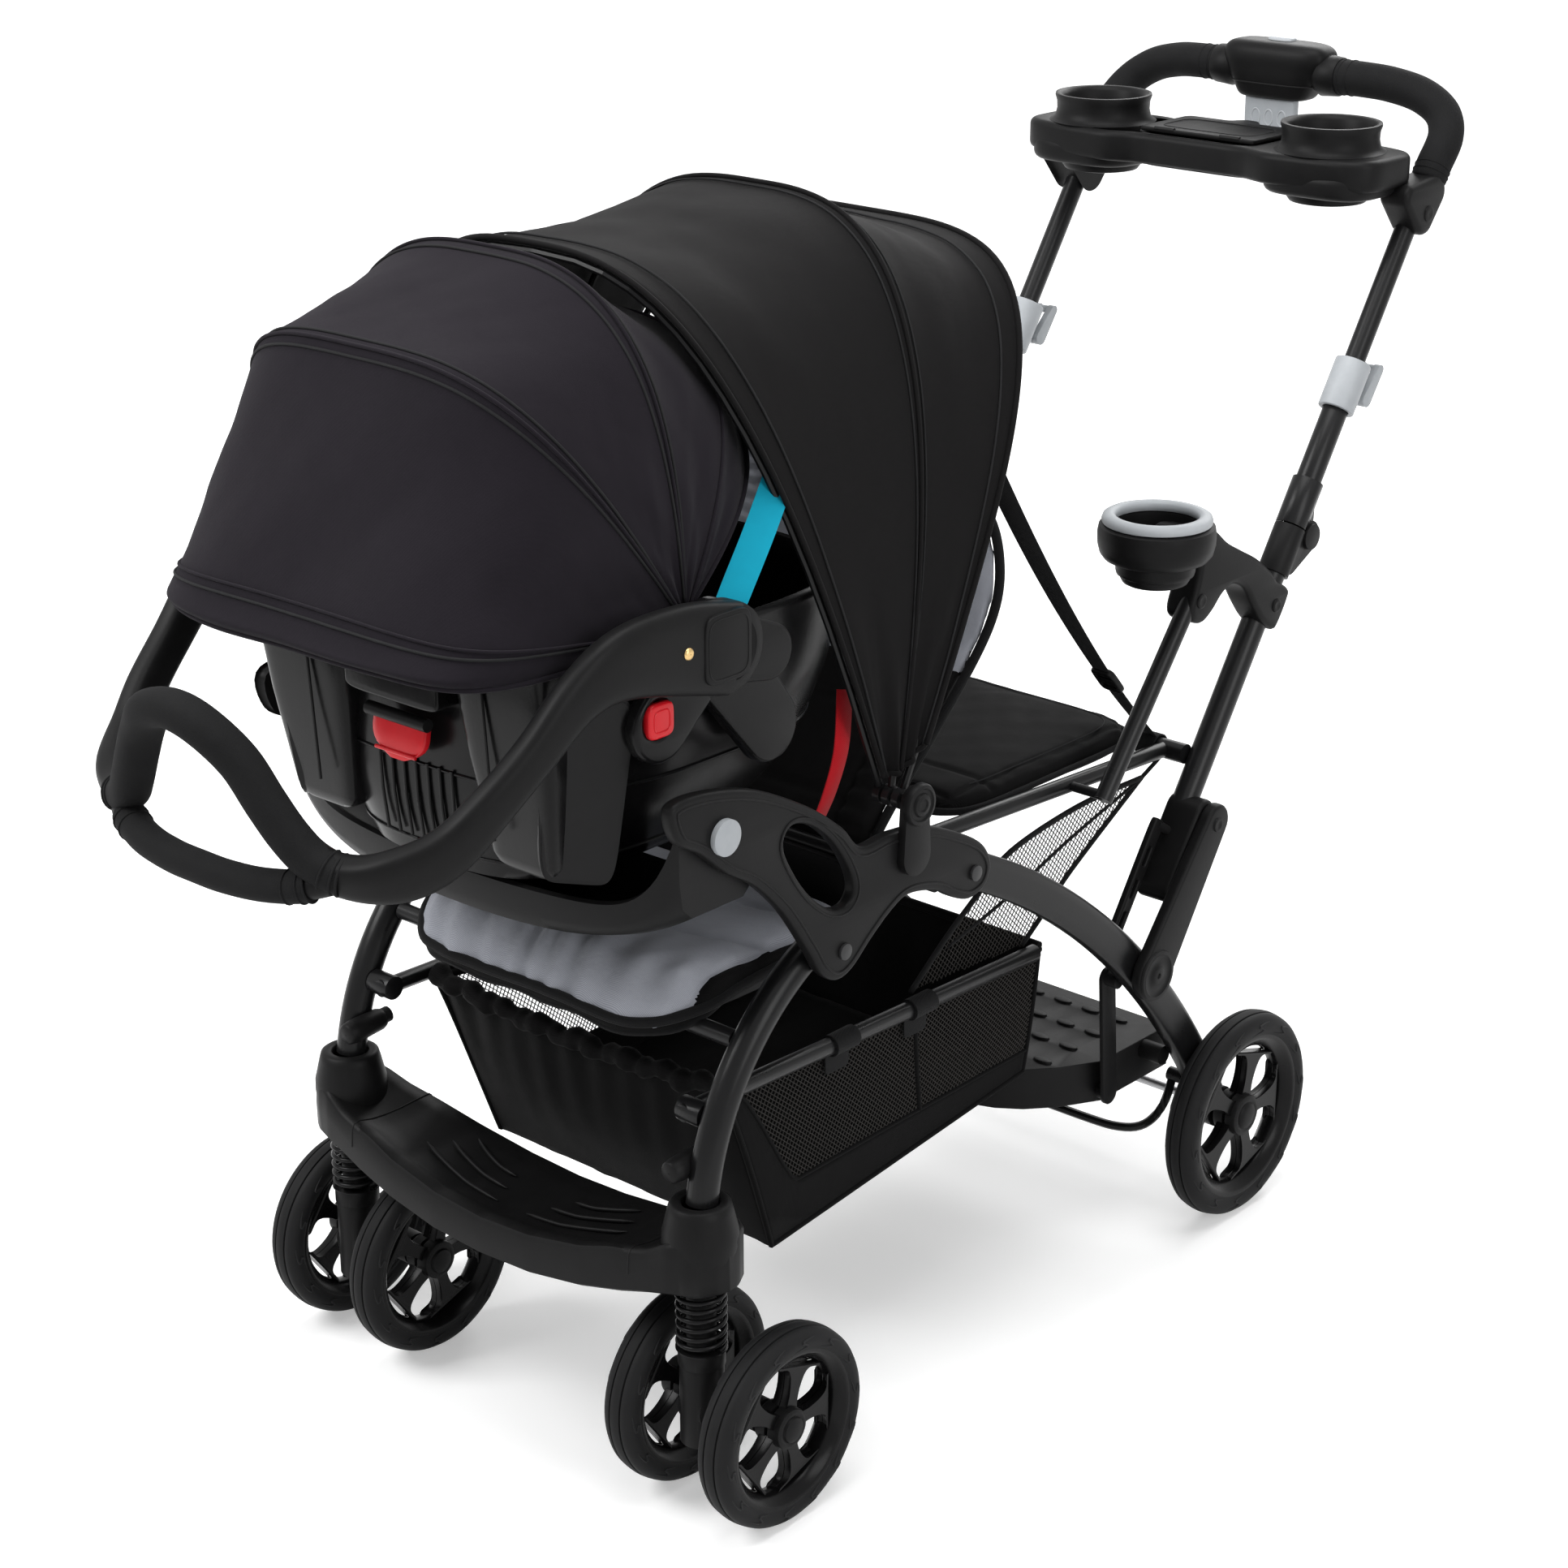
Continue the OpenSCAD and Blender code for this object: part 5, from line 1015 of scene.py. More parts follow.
b.tube(np.column_stack([even_loop(oval(0.112, 0.056, 6, 64, (0, 0.626)), 64), np.full(64, 1.0509)]), 0.0008, 0, 8,
       True)
b.make("tray_lid_look", [plastic], "tray_lid", auto=42, slot="black_plastic", stands_for="tray_lid")

rows = []
for z, half, deep, y in ((1.07, 0.033, 0.028, 0.729), (1.0708, 0.0385, 0.034, 0.729), (1.074, 0.043, 0.04, 0.73),
                         (1.082, 0.0475, 0.0455, 0.731), (1.092, 0.053, 0.05, 0.732), (1.102, 0.0585, 0.053, 0.733),
                         (1.111, 0.0618, 0.054, 0.733), (1.118, 0.0616, 0.052, 0.733), (1.123, 0.0585, 0.047, 0.733),
                         (1.1262, 0.053, 0.0395, 0.733), (1.128, 0.043, 0.029, 0.733), (1.1286, 0.026, 0.015, 0.733)):
    rows.append([(x, q, z) for x, q in oval(2 * half, deep, 3.6, 80, (0, y))])
b = Build().grid(curve(np.array(rows).reshape(len(rows), -1), 3).reshape(-1, 80, 3), 0, True, False, True)
b.tube(np.column_stack([oval(2 * 0.0498, 0.0475, 3.6, 80, (0, 0.7314)), np.full(80, 1.086)]), 0.0008, 0, 8, True)
for side in (-1, 1):
    b.lathe(sided(side, [(0.04, 0.012), (0.056, 0.0215), (0.066, 0.0206), (0.0745, 0.02), (0.076, 0.019),
                         (0.076, 0.015)]), (0, 0.733, 1.098), (1, 0, 0), 0, 40)
b.make("console_look", [plastic], "handlebar", auto=46, slot="black_plastic", stands_for="console")
b = Build()
b.grid(np.array([[(x, q, z) for x, q in oval(w, d, 3.5, 48, (0, 0.735))] for z, w, d in (
    (1.127, 0.03, 0.017), (1.13, 0.03, 0.017), (1.1312, 0.028, 0.015), (1.1318, 0.022, 0.01))]), 0, True, False, True)
b.make("console_thumb_button", [grey], "handlebar", auto=46, slot="grey_plastic")

low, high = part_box("fold_trigger")
cz, cw, ch = (low[2] + high[2]) / 2, high[0] - low[0], high[2] - low[2]
line = even_loop(oval(cw, ch, 5, 96, (0, cz)), 96)
b = Build().plate(line, [], across_y, low[1], high[1], 0.0028)
for y in (low[1], high[1]):
    for x in (-0.016, 0, 0.016):
        b.tube([(x + 0.005 * math.cos(q), y, cz - 0.008 + 0.008 * math.sin(q))
                for q in np.linspace(0, 2 * math.pi, 24, False)], 0.0008, 0, 6, True)
b.make("fold_trigger_look", [grey], "fold_trigger", auto=42, slot="grey_plastic", stands_for="fold_trigger")

bend = [(0.207, 0.704, 1.026), (0.204, 0.729, 1.052), (0.19, 0.743, 1.072), (0.164, 0.745, 1.087),
        (0.132, 0.74, 1.095), (0.104, 0.733, 1.098), (0.0705, 0.733, 1.098)]
start = np.array(bend[0]) - 0.018 * np.array([0, 0.5548, 0.832])
path = curve([start, *bend], 8)
size = np.full(len(path), 0.018)
size[:5] = (0.0138, 0.0166, 0.0176, 0.018, 0.018)
b = Build().tube(path, size, 0, 28).tube(mirror(path), size, 0, 28)
for p in (path, mirror(path)):
    for k in (5, 7, len(p) - 6, len(p) - 4):
        b.tube(ring_at(p, k, 0.018, 28), 0.0007, 0, 6, True)
b.make("foam_grips", [foam], "handlebar", auto=60, slot="foam", stands_for="handle_grips")


# Infant carrier

CARRY_HUB = (-0.372, 0.79)  # y and z of the carry handle's pivot
# Rows of the shell from its floor to its rim: height, front, back and half width
SHELL = curve([(0.578, -0.49, -0.215, 0.118), (0.64, -0.502, -0.16, 0.162), (0.72, -0.505, -0.128, 0.19),
               (0.79, -0.506, -0.116, 0.196)], 7)
# Corners of a flank panel, and a front tower's x from and to, front y, z from and to
FLANK = np.array([(0.163, -0.522, 0.786), (0.198, -0.446, 0.762), (0.176, -0.455, 0.596), (0.14, -0.506, 0.606)])
TOWER = (0.064, 0.178, -0.53, 0.606, 0.8)


def shell_loop(row, inset, n=120, power=3.2, rise=0.0):
    z, y0, y1, half = row
    return [(x, y, z + rise) for x, y in oval(2 * (half - inset), y1 - y0 - 2 * inset, power, n, (0, (y0 + y1) / 2))]


rows = [shell_loop(SHELL[0], 0.03, rise=-0.0005), shell_loop(SHELL[0], 0.01, rise=0.0),
        shell_loop(SHELL[0], 0.003, rise=0.003)]
rows += [shell_loop(r, 0.0) for r in SHELL[1:]]
top = SHELL[-1]
rows += [shell_loop(top, -0.0005, rise=0.002), shell_loop(top, 0.0015, rise=0.006),
         shell_loop(top, 0.0045, rise=0.0075), shell_loop(top, 0.008, rise=0.006), shell_loop(top, 0.009, rise=0.0)]
rows += [shell_loop(r, 0.009) for r in SHELL[-2:0:-1]]
rows += [shell_loop(SHELL[0], 0.012, rise=0.01), shell_loop(SHELL[0], 0.03, rise=0.009)]
b = Build().solid(rows)
for side in (-1, 1):
    line = hull2((*CARRY_HUB, 0.036), (-0.43, 0.735, 0.032))
    b.plate(line, [circle2((-0.436, 0.742), 0.0155, 40)], across_x, side * 0.1965, side * 0.2118, side * 0.0042)
    line = hull2((*CARRY_HUB, 0.0355), (-0.3, 0.7, 0.0315))
    b.plate(line, [], across_x, side * 0.1968, side * 0.212, side * 0.0042)
    b.lathe(sided(side, [(0.1, 0.0155), (0.2112, 0.0155), (0.212, 0.0135), (0.2095, 0.012), (0.2045, 0.0105),
                         (0.204, 0.0005)]), (0, -0.296, 0.703), (1, 0, 0), 0, 40)
    b.tube([(side * 0.17, *CARRY_HUB), (side * 0.214, *CARRY_HUB)], 0.03, 0, 32)
    quad = FLANK * np.array([side, 1, 1])
    normal = np.cross(quad[1] - quad[0], quad[3] - quad[0])
    normal *= math.copysign(1 / np.linalg.norm(normal), normal[0] * side)

    def on_tower(a, c, t):
        f, g = a + 0.5, c + 0.5
        p = (quad[0] * (1 - f) + quad[1] * f) * g + (quad[3] * (1 - f) + quad[2] * f) * (1 - g)
        return p + normal * t
    b.plate(oval(0.98, 0.98, 7, 72), [], on_tower, -0.03, 0.004, 0.0)
    b.plate(oval(0.92, 0.95, 8, 72), [], on_tower, 0.0, 0.0055, 0.0)
    x0, x1, y, z0, z1 = TOWER
    rows = []
    for z, grow, y_back in ((z0, -0.03, -0.46), (z0 + 0.004, -0.024, -0.462), (z0 + 0.012, -0.02, -0.464),
                            (mix(z0, z1, 0.5), -0.008, -0.47), (z1 - 0.008, 0.0, -0.472),
                            (z1 - 0.002, -0.002, -0.474), (z1, -0.005, -0.476)):
        w = x1 - x0 + 2 * grow
        lean = 0.016 * (1 - (z - z0) / (z1 - z0))
        rows.append([(side * p, q, z) for p, q in oval(w, (y_back - y) + grow, 7, 48,
                                                       ((x0 + x1) / 2, (y + y_back) / 2 + lean))])
    b.solid(rows)
    b.tube([(side * 0.106, -0.5285, z1 - 0.02), (side * 0.106, -0.5185, z0 + 0.03)], 0.0016, 0, 8)
    b.lathe([(-0.001, 0.008), (-0.0035, 0.0075), (-0.004, 0.0055), (-0.002, 0.0045), (-0.002, 0.0005)],
            (side * 0.106, -0.527, 0.778), (0, 1, 0), 0, 28)
for k in range(-3, 4):
    x = 0.0145 * k
    b.tube([(x, -0.5055, 0.676), (x, -0.504, 0.64), (x, -0.499, 0.604)], 0.0016, 0, 8)
b.plate(oval(0.112, 0.03, 6, 64, (0, 0.748)), [], across_y, -0.53, -0.503, 0.003)
for q in (0.6, 0.668):
    i = int(np.argmin(np.abs(SHELL[:, 0] - q)))
    b.tube(shell_loop(SHELL[i], -0.0004), 0.0014, 0, 8, True)
b.make("carrier_bucket", [gloss], "carrier", auto=44, slot="black_plastic", stands_for="carrier_shell")

low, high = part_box("carrier_release")
z0, z1, y0 = low[2], high[2] - 0.006, low[1]
rows = []
for f in np.linspace(0, 1, 9):
    z = mix(z0, z1, f)
    w = 0.064 * math.sqrt(max(0.1, 1 - max(0.0, 1 - f / 0.62) ** 2.2))
    y = y0 + 0.002 + 0.004 * f * f
    rows.append([(x, q, z) for x, q in oval(w, 0.011, 4.5, 48, (0, y + 0.0055))])
b = Build().solid(rows)
b.tube([(-0.024, y0 + 0.0015, z0 + 0.006), (0.024, y0 + 0.0015, z0 + 0.006)], 0.0016, 0, 10)
b.tube([(-0.036, high[1] - 0.006, high[2] - 0.006), (0.036, high[1] - 0.006, high[2] - 0.006)], 0.0058, 1, 24)
b.make("carrier_release_look", [red, plastic], "carrier_release", auto=46, slot="red_plastic",
       stands_for="carrier_release")

for side, word in ((1, "left"), (-1, "right")):
    low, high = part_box("carrier_button_" + word)
    y, z = (low[1] + high[1]) / 2, (low[2] + high[2]) / 2
    outer = max(abs(low[0]), abs(high[0]))
    b = Build().plate(even_loop(oval(0.0292, 0.0292, 4.5, 72, (y, z)), 72), [], across_x, side * (outer - 0.009),
                      side * (outer - 0.0004), side * 0.0022)
    b.tube(np.column_stack([np.full(40, side * (outer - 0.0004)), oval(0.018, 0.018, 4, 40, (y, z))]), 0.0007, 0, 6,
           True)
    b.make("carrier_button_look_" + word, [red], "carrier_button_" + word, auto=44, slot="red_plastic",
           stands_for="carrier_button_" + word)

arm = [(0.23, *CARRY_HUB), (0.23, -0.431, 0.803), (0.229, -0.494, 0.807), (0.224, -0.537, 0.79),
       (0.217, -0.578, 0.753), (0.208, -0.615, 0.72), (0.195, -0.643, 0.692), (0.18, -0.666, 0.677),
       (0.16, -0.687, 0.67), (0.135, -0.701, 0.67), (0.112, -0.711, 0.679), (0.095, -0.719, 0.697),
       (0.078, -0.726, 0.722), (0.058, -0.733, 0.752), (0.032, -0.744, 0.776), (0.0, -0.7469, 0.784)]
branch = [(0.134, -0.701, 0.668), (0.105, -0.716, 0.658), (0.07, -0.727, 0.653), (0.032, -0.732, 0.651),
          (0.0, -0.733, 0.651)]
line = curve(both_sides(arm), 6)
half = len(line) // 2
steps = np.abs(np.arange(len(line)) - half) / half
thick = np.interp(steps, (0, 0.4, 0.6, 1), (0.014, 0.014, 0.0125, 0.0125))
wide = curve(np.column_stack([(0, 0.3, 0.42, 0.5, 0.57, 0.65, 0.73, 0.8, 0.87, 0.94, 1.0),
                              (0.0125, 0.013, 0.018, 0.0232, 0.0225, 0.019, 0.0178, 0.0215, 0.03, 0.0372, 0.0385)]),
             6)
wide = np.interp(steps, wide[:, 0], wide[:, 1])
b = Build().tube(line, thick, 0, 32, flat=wide / thick, power=3.0)
grip_from = int(half * (1 - 0.4))
grip = line[grip_from:len(line) - grip_from]
b.tube(grip, 0.0168 + 0.0006 * np.sin(np.linspace(0, math.pi, len(grip))), 1, 28, flat=0.9, power=2.3)
for k in (0, 1, 3, len(grip) - 4, len(grip) - 2, len(grip) - 1):
    b.tube(ring_at(grip, k, 0.0171, 28, flat=0.9, power=2.3), 0.0011, 1, 8, True)
lower = curve(both_sides(branch), 6)
b.tube(lower, 0.0125, 0, 24, flat=0.9)
trim = max(3, len(lower) // 9)
sleeve = lower[trim:-trim]
b.tube(sleeve, 0.014, 1, 24, flat=0.95)
for k in (0, 1, 3, len(sleeve) - 4, len(sleeve) - 2, len(sleeve) - 1):
    b.tube(ring_at(sleeve, k, 0.0142, 24, flat=0.95), 0.0009, 1, 8, True)
for k in np.linspace(4, len(grip) - 5, 8).astype(int):
    p = grip[k]
    t = grip[k + 1] - grip[k - 1]
    out = np.cross(t, (0, 0, 1.0))
    out = out / np.linalg.norm(out)
    out = out if out[1] < 0 else -out
    b.lathe([(0.014, 0.0021), (0.0161, 0.0021), (0.016, 0.0012), (0.0152, 0.001), (0.015, 0.0002)], p, out, 0, 14)
for side in (-1, 1):
    b.lathe(sided(side, [(0.2128, 0.036), (0.2135, 0.0378), (0.228, 0.038), (0.2322, 0.0368), (0.234, 0.0335),
                         (0.2345, 0.027), (0.2332, 0.0255), (0.233, 0.008), (0.233, 0.0005)]), (0, *CARRY_HUB),
            (1, 0, 0), 0, 64)
    line2 = hull2((*CARRY_HUB, 0.03), (-0.322, 0.774, 0.024))
    b.plate(line2, [], across_x, side * 0.215, side * 0.2325, side * 0.0045)
    b.plate(even_loop(oval(0.054, 0.058, 5, 72, (-0.388, 0.798)), 72), [], across_x, side * 0.23, side * 0.2438,
            side * 0.0014)
    b.tube(np.column_stack([np.full(64, side * 0.2437), even_loop(oval(0.046, 0.05, 5, 64, (-0.388, 0.798)), 64)]),
           0.0006, 0, 6, True)
    b.lathe(sided(side, [(0.0, 0.0052), (0.0008, 0.005), (0.0018, 0.0038), (0.0022, 0.002), (0.0021, 0.0004)]),
            (side * 0.2424, -0.433, 0.803), (1, 0, 0), 2, 28)
b.make("carrier_carry_handle", [plastic, foam, brass], "carrier_handle", auto=44, slot="black_plastic",
       stands_for="carrier_handle")


# Padded cloth

def place_at(o, points):
    o.data.vertices.foreach_set("co", np.array(points, float).ravel())
    o.data.update()


def puff(o, voxel, pressure, cap):
    """Fills a cushion with air: an even skin, a short cloth simulation under pressure, then one smooth pass."""
    modify(o, "REMESH", mode="VOXEL", voxel_size=voxel)
    settle(o)
    before = coords(o)
    cloth = modify(o, "CLOTH")
    cloth.settings.quality = 6
    cloth.settings.mass = 0.15
    cloth.settings.use_pressure = True
    cloth.settings.uniform_pressure_force = pressure
    cloth.settings.effector_weights.gravity = 0
    cloth.settings.tension_stiffness = cloth.settings.compression_stiffness = 20
    cloth.settings.bending_stiffness = 0.8
    for f in range(1, 21):
        scene.frame_set(f)
    settle(o)
    move = coords(o) - before
    size = np.linalg.norm(move, axis=1)[:, None]
    place_at(o, before + move * np.minimum(1, cap / np.maximum(size, 1e-9)))
    scene.frame_set(1)
    modify(o, "SUBSURF", levels=1, render_levels=1)
    settle(o)
    o.data.polygons.foreach_set("use_smooth", np.full(len(o.data.polygons), True))


def cushion(outline, levels):
    """Closed cushion from a plan outline and rows of (share of the outline, height)."""
    c = outline.mean(0)
    rows = [[(*(c + (q - c) * share), z) for q in outline] for share, z in levels]
    return Build().solid(rows)


def finish_cushion(o, names, tint, uv):
    """Cloth by place and by facing on a finished cushion, and threads laid out flat."""
    o.data.materials.clear()
    for m in names:
        o.data.materials.append(m)
    co = coords(o)
    middle = np.array([np.mean([co[i] for i in p.vertices], axis=0) for p in o.data.polygons])
    facing = np.array([p.normal for p in o.data.polygons])
    o.data.polygons.foreach_set("material_index", tint(middle, facing).astype(np.int32))
    lay_flat(o.data, uv(co))


# Seat board, its corners rounded to stay under the pad
low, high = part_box("seat_deck")
flat = low[2] + 0.008
b = Build().plate(oval(high[0] - low[0], high[1] - low[1], 5, 96, (0, (low[1] + high[1]) / 2)), [], across_z,
                  low[2], flat, 0.0015)
b.plate(oval(0.3, high[2] - flat + 0.004, 8, 64, (0, (high[2] + flat - 0.004) / 2)), [], across_y,
        high[1] - 0.008, high[1], 0.0015)
b.make("seat_board", [plastic], "chassis", auto=44, slot="black_plastic", stands_for="seat_deck")

# Front seat pad: grey quilted cloth with gathered front, black side panels and a black bound edge
PAD_HALF = 0.186  # half the pad's width


def pad_front(u):
    return -0.397 + 0.058 * np.abs(u) ** 6


def pad_drop(x, y):
    """How far the pad bends down over the front of the seat."""
    ahead = np.clip(1 - (y - pad_front(x / PAD_HALF) - 0.006) / 0.036, 0, 1)
    return 0.024 * ahead ** 1.6 * (1 - 0.5 * smoothstep(np.abs(x), 0.14, 0.182))


u = np.linspace(-1, 1, 61)
front = np.stack([PAD_HALF * np.sign(u) * np.abs(u) ** 0.97, pad_front(u)], 1)
plan = even_loop(np.concatenate([front, [(0.1845, -0.26), (0.176, -0.15), (0.16, -0.135), (0, -0.132),
                                         (-0.16, -0.135), (-0.176, -0.15), (-0.1845, -0.26)]]), 160)
PAD_LEVELS = [(0.001, 0.4466), (0.6, 0.4466), (0.93, 0.4468), (0.985, 0.449), (1.0, 0.454), (0.995, 0.46),
              (0.965, 0.467), (0.9, 0.4715), (0.75, 0.474), (0.5, 0.475), (0.25, 0.4752), (0.001, 0.4752)]
o = cushion(plan, PAD_LEVELS).make("front_seat_cushion", [quilt])
puff(o, 0.005, 4.0, 0.007)
co, no = coords(o), coords(o, "normal")
u = co[:, 0] / PAD_HALF
edge = co[:, 1] - pad_front(u)
top = smoothstep(no[:, 2], -0.1, 0.5)
roll = np.exp(-((edge - 0.03) / 0.04) ** 2) * top * (1 - smoothstep(np.abs(u), 0.84, 0.94))
lane = co[:, 0] * 1000
pucker = (np.sin(lane / 5.3 + 1.8 * np.sin(lane / 31) + edge * 26)
          + 0.6 * np.sin(lane / 9.1 - 1.2 + edge * 40)) * 0.003
wander = noise2(co[:, 0] * 34, co[:, 1] * 30, 21) * 0.0022 * top
groove = np.exp(-((edge - 0.105 - 0.012 * u * u) / 0.005) ** 2) + np.exp(-((edge - 0.19) / 0.005) ** 2)
co = co + no * (pucker * roll + wander - 0.0045 * groove * top * (1 - smoothstep(np.abs(u), 0.84, 0.92)))[:, None]
seam_u = 0.89
co = co - no * (0.0035 * np.exp(-((np.abs(u) - seam_u) / 0.022) ** 2) * top)[:, None]
co[:, 2] = np.maximum(co[:, 2], 0.4464) - pad_drop(co[:, 0], co[:, 1])
place_at(o, co)
finish_cushion(o, [quilt, basket_cloth],
               lambda m, facing: ((np.abs(m[:, 0]) > seam_u * PAD_HALF)
                                  | (m[:, 2] + pad_drop(m[:, 0], m[:, 1]) < 0.448)),
               lambda c: c[:, :2])
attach(o, "chassis")
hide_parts("front_seat_pad")

# Black binding sewn round the pad's edge, and the bound skirt below its front
rim = np.array([co[np.argmin((co[:, 0] - x) ** 2 + (co[:, 1] - y) ** 2)] for x, y in plan])
rim = np.column_stack([evened(rim[:, :2], 3), evened(rim[:, 2], 12)])
b = Build().tube(rim, 0.0042, 0, 10, True)
lip = rim[plan[:, 1] < -0.334]
s = np.linspace(-1, 1, len(lip))
rows = []
for f in np.linspace(0, 1, 7):
    p = lip.copy()
    p[:, 2] -= (0.013 + 0.0014 * np.sin(17 * s)) * f * (1 - np.abs(s) ** 8)
    p[:, 1] += 0.006 * f * f
    rows.append(p)
b.grid(rows, 1)
b.tube(rows[-1], 0.0026, 0, 8)
o = b.make("front_seat_binding", [webbing, basket_cloth], "chassis", auto=60)
modify(o, "SOLIDIFY", thickness=0.0012, offset=0)

# Backrest: quilted front, black back and a bound edge; the lower part of the front is black cloth as painted shade
# for the shadow inside the hood
BACK_FOOT, BACK_HEAD = np.array([-0.099, 0.4815]), np.array([0.029, 0.8715])
BACK_WAY = (BACK_HEAD - BACK_FOOT) / np.linalg.norm(BACK_HEAD - BACK_FOOT)
BACK_OUT = np.array([BACK_WAY[1], -BACK_WAY[0]])


def back_at(t):
    sag = 0.076 * np.maximum(np.sin(np.pi * np.clip((t - 0.09) / 0.91, 0, 1)), 0) ** 1.2
    return BACK_FOOT[None] * (1 - t)[:, None] + BACK_HEAD[None] * t[:, None] + np.stack([sag, 0 * t], 1)


def back_half(t):
    """Half the backrest's width at a share t of its height: wider at the shoulders, with a round head."""
    waist = 0.158 + 0.015 * np.exp(-((t - 0.62) / 0.2) ** 2)
    head = np.sqrt(np.maximum(0.05, 1 - 0.7 * ((t - 0.75) / 0.25) ** 2))
    return waist * np.where(t < 0.75, 0.9 + 0.1 * t / 0.75, head)


t = np.concatenate([np.linspace(0.01, 0.9, 40), 1 - 0.1 * np.linspace(0.9, 0.06, 8) ** 1.6])
half = back_half(t)
right = np.stack([half, t], 1)
loop = np.concatenate([right, right[::-1] * np.array([-1, 1])])
loop = even_loop(loop, 150)
rows = []
for share, d in ((0.001, -0.0085), (0.5, -0.0085), (0.85, -0.008), (0.965, -0.005), (1.0, 0.0), (0.985, 0.0045),
                 (0.93, 0.0065), (0.6, 0.007), (0.001, 0.007)):
    q = np.array([0, 0.52]) + (loop - np.array([0, 0.52])) * share
    c = back_at(q[:, 1])
    rows.append(np.column_stack([q[:, 0], c + BACK_OUT * d]))
o = Build().solid(rows).make("seat_back_cushion", [quilt])
puff(o, 0.006, 3.0, 0.005)
co, no = coords(o), coords(o, "normal")
t = (co[:, 2] - BACK_FOOT[1]) / (BACK_HEAD[1] - BACK_FOOT[1])
face = smoothstep(-no[:, 1], 0.1, 0.6)
inside = 1 - smoothstep(np.abs(co[:, 0]) / back_half(np.clip(t, 0, 1)), 0.84, 0.95)
lines = sum(np.exp(-((t - k) / 0.012) ** 2) for k in (0.16, 0.34, 0.52, 0.7))
wings = np.exp(-((np.abs(co[:, 0]) - 0.098 - 0.01 * t) / 0.005) ** 2)
puckers = (0.0016 * np.sin(co[:, 2] * 420 + 3 * np.sin(co[:, 0] * 40))
           * np.exp(-((np.abs(co[:, 0]) - 0.115) / 0.03) ** 2))
co = co + no * ((-0.0035 * np.maximum(lines * (np.abs(co[:, 0]) < 0.1), wings) + puckers) * face * inside
                + noise2(co[:, 0] * 30, co[:, 2] * 26, 31) * 0.0014)[:, None]
place_at(o, co)
# Rear-facing faces are the black back; front faces below 0.65 m are black cloth too, as painted shade where the hood
# shades the seat
finish_cushion(o, [quilt, canopy_cloth],
               lambda m, facing: (facing[:, 1:] @ BACK_OUT > 0) | (m[:, 2] < 0.65),
               lambda c: c[:, [0, 2]])
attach(o, "backrest")
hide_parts("backrest")
c = back_at(loop[:, 1])
b = Build().tube(np.column_stack([loop[:, 0], c]), 0.0046, 0, 10, True)
for k in (0.34, 0.7):
    line = [(x, *(back_at(np.array([k]))[0] + BACK_OUT * -0.0105)) for x in np.linspace(-0.094, 0.094, 40)]
    b.tube(line, 0.0007, 1, 6)
b.make("seat_back_binding", [webbing, thread], "backrest", auto=60, slot="black_cloth")

# Rear bench pad: black cloth with a sewn rim
plan = even_loop(oval(0.318, 0.309, 7, 160, (0, 0.163)), 160)
o = cushion(plan, [(0.001, 0.5006), (0.6, 0.5006), (0.95, 0.5008), (0.99, 0.5035), (1.0, 0.51), (0.996, 0.518),
                   (0.98, 0.5225), (0.93, 0.524), (0.6, 0.525), (0.001, 0.5252)]).make("bench_cushion",
                                                                                       [basket_cloth])
puff(o, 0.006, 3.0, 0.005)
co, no = coords(o), coords(o, "normal")
top = smoothstep(no[:, 2], 0.2, 0.7)
rim = np.maximum(np.abs(co[:, 0]) / 0.159, np.abs(co[:, 1] - 0.163) / 0.1545)
co = co + no * ((noise2(co[:, 0] * 24, co[:, 1] * 22, 41) * 0.0022 - 0.003 * np.exp(-((rim - 0.88) / 0.018) ** 2)
                 - 0.003 * np.exp(-((co[:, 1] - 0.075) / 0.004) ** 2)) * top)[:, None]
co[:, 2] = np.maximum(co[:, 2], 0.5003)
place_at(o, co)
finish_cushion(o, [basket_cloth], lambda m, facing: 0 * m[:, 0], lambda c: c[:, :2])
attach(o, "rear_frame")
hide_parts("rear_seat_pad")
b = Build().tube([(x, y, 0.512) for x, y in plan], 0.003, 0, 10, True)
b.tube([(x * 0.875, 0.163 + (y - 0.163) * 0.875, 0.5268) for x, y in plan], 0.0007, 1, 6, True)
b.make("bench_binding", [webbing, thread], "rear_frame", auto=60, slot="black_cloth")


# Basket: plain cloth front, floor and low side bands, net sides, gathered hems

BASKET_HALF = 0.1805  # half the basket's width at its hem


def basket_y(v, f):
    """Fore and aft place, v from 0 at the front to 1 at the rear, f from 0 at the hem to 1 at the floor."""
    return mix(mix(-0.333, -0.262, f ** 0.9), mix(0.117, 0.104, f), v)


def basket_z(v, f):
    return mix(mix(0.3675, 0.3555, v), mix(0.186, 0.225, v), f)


def basket_point(side, v, f):
    belly = 0.004 * math.sin(math.pi * v) * math.sin(math.pi * min(f, 1))
    return (side * (BASKET_HALF - 0.006 * f * f - belly), basket_y(v, f), basket_z(v, f))


def band_top(v):
    """Share of the side's depth at which the net meets the plain band."""
    return mix(0.7, 0.82, v)


FRONT_CLOTH = 0.13  # share of a side that the plain front corner takes
SIDE_SEAM = 0.58  # share of a side's length where the upright seam is
# The net laid flat: its front end, length and depth, and the distance between its threads
NET_FRONT, NET_LONG, NET_DEEP, NET_PITCH = -0.333, 0.45, 0.16, 0.0062


def net_foot(v):
    """Share of the side's depth down to which the net reaches."""
    return band_top(v) if v > FRONT_CLOTH else mix(0.0, band_top(FRONT_CLOTH), smoothstep(v, 0.02, FRONT_CLOTH))


